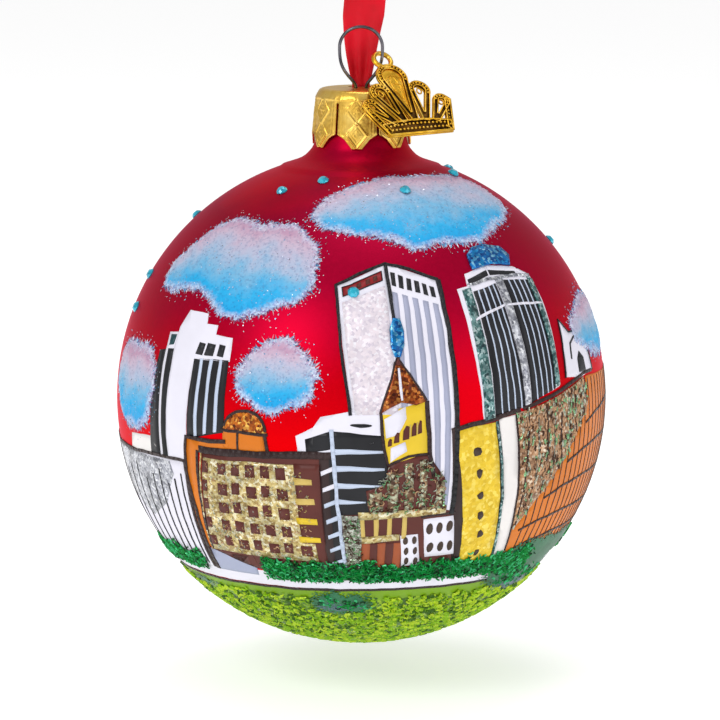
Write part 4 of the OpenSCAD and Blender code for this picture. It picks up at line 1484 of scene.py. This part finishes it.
below = [(3.9, 1.5, -14.4), (3.6, 1.35, -15.1), (3.2, 1.2, -14.6), (2.7, 1.05, -12.2), (1.9, 0.7, -9),
         (1.2, 0.3, -5), (0.88, 0.08, -2), (0.85, 0, -0.4)]
half = [Vector((x * MM, y * MM, TOP + z * MM)) for x, y, z in below]
half += [lean(x, h) for x, h in ((0.95, 0.5), (1.45, 1.25), (2.3, 2.3), (2.95, 3.3), (3.36, 4.4),
                                 (3.55, 5.6))]
half += [lean(LOOP_R * cosd(a), LOOP_MID + LOOP_R * sind(a)) for a in range(0, 90, 12)]
wire_path = half + [lean(0, LOOP_MID + LOOP_R)] + [Vector((-p.x, p.y, p.z)) for p in half[::-1]]
v, f = tube(smooth_path(wire_path, 4), WIRE_R * MM, 12)
wire = link_mesh("bent_wire", v, f, [STEEL], smooth=True)
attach(wire, "wire")
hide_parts("hanger_wire")

# the charm's own axes: across, up and out of its face
c_x = Vector((0.81, 0.52, 0.02)).normalized()
c_up = Vector((-0.371, 0.65, 0.722))
c_up = (c_up - c_up.dot(c_x) * c_x).normalized()
c_out = -c_up.cross(c_x)
RING_Y = 16.25
THICK = 0.45
BACK, FRONT = -THICK * 0.8, THICK * 0.35
c_origin = lean(3.45, 5) - c_up * ((RING_Y + 0.3) * MM)


def on_charm(x, y, z=0.0):
    return c_origin + (c_x * x + c_up * y + c_out * z) * MM


def drop_line(w, l, b, foot):
    """a drop with a round head: width, length and width of the foot in mm"""
    pts = [(b / 2, foot)]
    pts += [(w / 2 * cosd(t), l - w / 2 + w / 2 * sind(t)) for t in range(-24, 205, 8)]
    return pts + [(-b / 2, foot)]


def turned(pts, x, y, a, s=1):
    """points turned by a degrees and moved; s = -1 mirrors them"""
    c, d = cosd(a), sind(a)
    return [(s * (x + px * c - py * d), y + px * d + py * c) for px, py in pts]


def plate_between(outer, inner, z0, z1, mat):
    """a flat ring of metal between two outlines with the same count of points"""
    n = len(outer)
    verts = [on_charm(*p, z) for p, z in [(q, z) for z in (z0, z1) for loop in (outer, inner) for q in loop]]
    faces = []
    for k in range(n):
        j = (k + 1) % n
        faces += [[k, j, n + j, n + k], [2 * n + k, 3 * n + k, 3 * n + j, 2 * n + j],
                  [k, 2 * n + k, 2 * n + j, j], [n + k, n + j, 3 * n + j, 3 * n + k]]
    return verts, faces, mat


def prism(pts):
    """a plate of the charm's own thickness with this outline"""
    n = len(pts)
    verts = [on_charm(*p, z) for z in (BACK, FRONT) for p in pts]
    faces = [list(range(n))[::-1], [n + k for k in range(n)]]
    return verts, faces + [[k, (k + 1) % n, n + (k + 1) % n, n + k] for k in range(n)]


def bead(p, r, mat):
    """a small ball with eight sides"""
    sides = 8
    verts, faces = [], []
    for i in range(1, 4):
        a = math.pi * i / 4
        for k in range(sides):
            c = 2 * math.pi * k / sides
            verts.append(p + (c_x * math.sin(a) * math.cos(c) + c_up * math.sin(a) * math.sin(c)
                              + c_out * math.cos(a)) * r)
    verts += [p + c_out * r, p - c_out * r]
    for i in range(2):
        faces += [[i * sides + k, i * sides + (k + 1) % sides, (i + 1) * sides + (k + 1) % sides,
                   (i + 1) * sides + k][::-1] for k in range(sides)]
    faces += [[3 * sides, (k + 1) % sides, k][::-1] for k in range(sides)]
    faces += [[3 * sides + 1, 2 * sides + k, 2 * sides + (k + 1) % sides][::-1] for k in range(sides)]
    return verts, faces, mat


def along(pts, gap_mm):
    """places every gap_mm along a line"""
    out, left = [], gap_mm * 0.5
    for a, b in zip(pts, pts[1:]):
        d = math.dist(a, b)
        while left <= d:
            out.append((a[0] + (b[0] - a[0]) * left / d, a[1] + (b[1] - a[1]) * left / d))
            left += gap_mm
        left -= d
    return out


def rail(pts, r, z):
    v, f = tube([on_charm(x, y, z) for x, y in pts], r * MM, 8, True, squash=c_out)
    return v, f, 0


def charm_lobe(x, y, a, w, l, s):
    """one open lobe: a sunk plate, rails on both faces, a row of beads and the curl in the opening"""
    parts = []
    outer = turned(drop_line(w, l, 1.1, 0), x, y, a, s)
    inner = turned(drop_line(w - 1.75, l - 0.88, 0.2, 2.1), x, y, a, s)
    mid = turned(drop_line(w - 0.9, l - 0.45, 0.75, 1.0), x, y, a, s)
    edge_in = turned(drop_line(w - 0.26, l - 0.13, 1.0, 0.3), x, y, a, s)
    parts.append(plate_between(outer, inner, BACK, FRONT, 1))
    for z in (THICK - 0.13, -THICK + 0.13):
        parts.append(rail(edge_in, 0.14, z))
        parts.append(rail(inner, 0.13, z))
    parts.append(rail(outer, 0.1, 0))
    for p in along(mid[1:-1], 0.62):
        parts.append(bead(on_charm(*p, THICK * 0.55), 0.235 * MM, 0))
    if w > 5:
        k = len(inner)
        back = [on_charm(*q, z) for z in (-0.16, 0.1) for q in inner]
        parts.append((back, [list(range(k))[::-1], list(range(k, 2 * k))], 0))
        for m in (0.72, 0.4):
            smaller = [(q[0] * m, 5.2 + (q[1] - 5.2) * m + (1 - m) * 3.6) for q in inner]
            parts.append(rail(smaller, 0.1, 0.12))
    if w > 4:
        tall = l - 0.88
        curl = [(0.05, 2.3), (-0.25 * w + 0.5, tall * 0.5), (-0.2 * w + 0.45, tall * 0.78),
                (0.15, tall * 0.86), (0.62, tall * 0.72), (0.4, tall * 0.6), (0.1, tall * 0.64)]
        v, f = tube(smooth_path([on_charm(*q, 0.02) for q in turned(curl, x, y, a, s)], 5), 0.16 * MM, 8)
        parts.append((v, f, 0))
        tongue = turned([(0.0, 2.4), (0.55, tall * 0.42), (0.35, tall * 0.6)], x, y, a, s)
        v, f = tube(smooth_path([on_charm(*q, 0.0) for q in tongue], 5), 0.14 * MM, 8)
        parts.append((v, f, 0))
    else:
        eye = turned([(0.42 * math.cos(k * 0.45), l - w / 2 - 0.1 + 0.6 * math.sin(k * 0.45))
                      for k in range(14)], x, y, a, s)
        parts.append(rail(eye, 0.14, 0.05))
    return parts


def charm():
    """five lobes on an arched foot with two flared ends, and the ring"""
    parts = []
    lobes = [(0, 2.3, 0, 5.6, 12.8, 1)] + [(x, y, a, w, l, s) for s in (1, -1) for x, y, a, w, l in
                                          ((2, 2.2, -15, 4, 9.1), (3.7, 2, -37, 3.1, 7))]
    for lobe in lobes:
        parts += charm_lobe(*lobe)
    foot = [(-6.3, 0), (6.3, 0), (6.9, 2.2), (3.5, 2.75), (0, 2.95), (-3.5, 2.75), (-6.9, 2.2)]
    parts.append((*prism(foot), 1))
    for z in (THICK - 0.19, -THICK + 0.19):
        parts.append(rail([(x * 0.985, 0.17 + (y - 0.17) * 0.97) for x, y in foot], 0.19, z))
    parts.append(rail(foot, 0.12, 0))
    for k in range(15):
        x = -5.35 + k * 0.765
        arch = 0.5 * (1 - (x / 6.3) ** 2)
        for row in (0, 1):
            if abs(x) < 5.9 - (row == 0) * 0.3:
                y = 0.9 + 0.78 * row + arch * (0.3 + 0.45 * row)
                parts.append(bead(on_charm(x, y, THICK * 0.42), 0.235 * MM, 0))
    for s in (1, -1):
        side = [(s * x, y) for x, y in ((5.6, 0.6), (6.3, 0), (8.75, 6.5), (8.3, 7.1), (7.75, 6.8))]
        verts, fs = prism(side)
        parts.append((verts, fs if s > 0 else [g[::-1] for g in fs], 1))
        for z in (THICK - 0.17, -THICK + 0.17):
            parts.append(rail(side, 0.17, z))
        for k in range(8):
            t = 0.12 + k * 0.115
            parts.append(bead(on_charm(s * (6.0 + 2.28 * t), 0.5 + 6.4 * t, THICK * 0.4), 0.17 * MM, 0))
    ring = [(1.55 * math.cos(k * math.pi / 18), RING_Y + 1.55 * math.sin(k * math.pi / 18))
            for k in range(36)]
    v, f = tube([on_charm(x, y, 0) for x, y in ring], 0.42 * MM, 14, True, squash=c_out)
    parts.append((v, f, 0))
    v, f, idx = join(parts)
    ob = link_mesh("crown_filigree", v, f, [ANTIQUE, PATINA], idx, smooth=True)
    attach(ob, "charm")
    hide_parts("crown_charm")


charm()


# ---------------------------------------------------------------- the ribbon
def satin():
    m, t, p = nodes_of("red_satin_weave")
    uv = new(t, "ShaderNodeUVMap", uv_map="band")
    sep = new(t, "ShaderNodeSeparateXYZ")
    t.links.new(uv.outputs[0], sep.inputs[0])
    wave = new(t, "ShaderNodeTexWave", wave_type="BANDS", bands_direction="Y")
    settings(wave, {"Scale": 42, "Distortion": 0.6})
    t.links.new(uv.outputs[0], wave.inputs["Vector"])
    n = obj_noise(t, 160, 3)
    r = ramp(t, [(0.3, srgb(196, 0, 22)), (0.6, srgb(222, 0, 32)), (0.8, srgb(236, 14, 44))])
    t.links.new(n.outputs["Fac"], r.inputs[0])
    t.links.new(mix_rgb(t, 0.25, r.outputs[0], wave.outputs["Fac"], "OVERLAY"), p.inputs["Base Color"])
    rough_from(t, p, n.outputs["Fac"], 0.32, 0.46)
    bump(t, p, wave.outputs["Fac"], 0.35, 0.00005)
    settings(p, {"Anisotropic": 0.5, "Specular IOR Level": 0.2, "Sheen Weight": 0.12,
                 "Sheen Roughness": 0.3, "Sheen Tint": srgb(255, 60, 70)})
    return m


WIDTH, PLY = 7.0, 0.35  # mm
SLOT_Y, SPLIT, BOW = 2.3, 12.0, 2.5  # mm: the slot, where the plies part, the radius of the top fold
PEAK = HANG / MM + PLY / 2 - BOW
GATHERED = 3  # mm wide in the slot


def ply_y(s, h):
    if h < SPLIT:
        foot = SLOT_Y + 0.27 * s
        return foot if h < 0 else foot + (3.4 + 1.55 * s - foot) * h / SPLIT
    f = min(1, (h - SPLIT) / 26)
    g = f * f * (3 - 2 * f)
    return (3.4 + 1.55 * s) * (1 - g) + BOW * s * g


def drift(h):
    """the band hangs a little to one side above the wire loop"""
    a, b = max(0, min(1, (h - 5) / 14)), max(0, min(1, (h - 34) / 20))
    return 0.85 * a * a * (3 - 2 * a) * (1 - b * b * (3 - 2 * b))


def ply_w(h):
    return WIDTH if h > SPLIT else GATHERED + (WIDTH - GATHERED) * (max(0, h - 0.8) / (SPLIT - 0.8)) ** 0.75


def ribbon():
    """one band: up the front ply, over the bow and down the back ply, pleated where it enters the cap"""
    hs = [-3.4, -2, -1, 0, 0.8] + [1.4 + k * 0.75 for k in range(76)]
    hs = [h for h in hs if h < PEAK - 0.3] + [PEAK]
    line = [(ply_y(-1, h), h) for h in hs]
    line += [(BOW * cosd(a), PEAK + BOW * sind(a)) for a in range(168, 0, -12)]
    line += [(ply_y(1, h), h) for h in hs[::-1]]
    across = 28
    bands, faces, uvs = [], [], []
    length = 0
    for i, (y, h) in enumerate(line):
        a, b = line[max(0, i - 1)], line[min(len(line) - 1, i + 1)]
        t = Vector((b[0] - a[0], b[1] - a[1])).normalized()
        nrm = Vector((-t.y, t.x))
        if i:
            length += math.dist(line[i], line[i - 1])
        w = ply_w(h)
        pleat = max(0, min(1, (SPLIT + 2 - h) / 11))
        for side in (1, -1):
            row = []
            for k in range(across + 1):
                u = k / across * 2 - 1
                flat = 0.4 if h < 1.5 else 1
                fold = 0.34 * pleat * math.cos(u * math.pi * 2.5 + 0.6) * flat * min(1, w / 6)
                bow = 0.16 * (1 - pleat) * math.sin(h * 0.13 + 1) * (u * u - 0.4)
                woven_edge = 0.55 if abs(u) < 0.86 else 0.75
                rim = 0.35 if abs(u) > 0.995 else 1
                off = fold + bow + side * PLY / 2 * woven_edge * rim
                x = u * w / 2 + drift(h)
                row.append((x, y + nrm.x * off, h + nrm.y * off))
            bands.append((row, length))
    verts = []
    for row, run in bands:
        for k, (x, y, h) in enumerate(row):
            verts.append((x * MM, y * MM, TOP + h * MM))
            uvs.append((k / across, run / 7))
    n = across + 1
    rows = len(line)
    for i in range(rows - 1):
        f0, b0, f1, b1 = 2 * i * n, (2 * i + 1) * n, (2 * i + 2) * n, (2 * i + 3) * n
        for k in range(across):
            faces.append([f0 + k, f0 + k + 1, f1 + k + 1, f1 + k])
            faces.append([b0 + k, b1 + k, b1 + k + 1, b0 + k + 1])
        faces.append([f0, f1, b1, b0])
        faces.append([f0 + across, b0 + across, b1 + across, f1 + across])
    for f0, b0, flip in ((0, n, True), (2 * (rows - 1) * n, (2 * rows - 1) * n, False)):
        for k in range(across):
            g = [f0 + k, f0 + k + 1, b0 + k + 1, b0 + k]
            faces.append(g[::-1] if not flip else g)
    ob = link_mesh("satin_ribbon", verts, faces, [satin()], smooth=True)
    layer = ob.data.uv_layers.new(name="band")
    for lp in ob.data.loops:
        layer.data[lp.index].uv = uvs[lp.vertex_index]
    bm = bmesh.new()
    bm.from_mesh(ob.data)
    bmesh.ops.recalc_face_normals(bm, faces=bm.faces)
    bm.to_mesh(ob.data)
    bm.free()
    return ob, line


band, ribbon_line = ribbon()
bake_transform(band)
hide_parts("ribbon", "ribbon_tails")
knot_v, knot_f = [], []
KNOT_R, KNOT_Y, KNOT_Z = 1.66, 2.4, -4.6  # mm
kn, km = 24, 14
for j in range(km + 1):
    for i in range(kn):
        a, b = 2 * math.pi * i / kn, math.pi * j / km
        r = KNOT_R * (1 - 0.09 * abs(math.sin(3 * a + 2 * b)))
        x, y = r * math.sin(b) * math.cos(a), KNOT_Y + r * math.sin(b) * math.sin(a)
        knot_v.append((x * MM, y * MM, TOP + (KNOT_Z + r * math.cos(b)) * MM))
for j in range(km):
    for i in range(kn):
        a, b = j * kn + i, j * kn + (i + 1) % kn
        knot_f.append([a, a + kn, b + kn, b])
knot = link_mesh("ribbon_knot", knot_v, knot_f, [band.data.materials[0]], smooth=True)
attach(knot, "cap_and_tails")
cord_path = [(drift(h) * MM, y * MM, TOP + h * MM) for y, h in ribbon_line]
run = sum(math.dist(a, b) for a, b in zip(cord_path, cord_path[1:]))
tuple(cord_path[0])


# ---------------------------------------------------------------- floor
floor_mat, _, floor_look = nodes_of("studio_floor")
settings(floor_look, {"Base Color": (0.85, 0.85, 0.85, 1), "Roughness": 0.9, "Emission Color": (1, 1, 1, 1),
                      "Emission Strength": 0.5})
FLOOR_Z, HALF = -0.1613, 3  # metres
corners = [(x * HALF, y * HALF, FLOOR_Z) for x, y in ((-1, -1), (1, -1), (1, 1), (-1, 1))]
floor = link_mesh("floor", corners, [[0, 1, 2, 3]], [floor_mat])
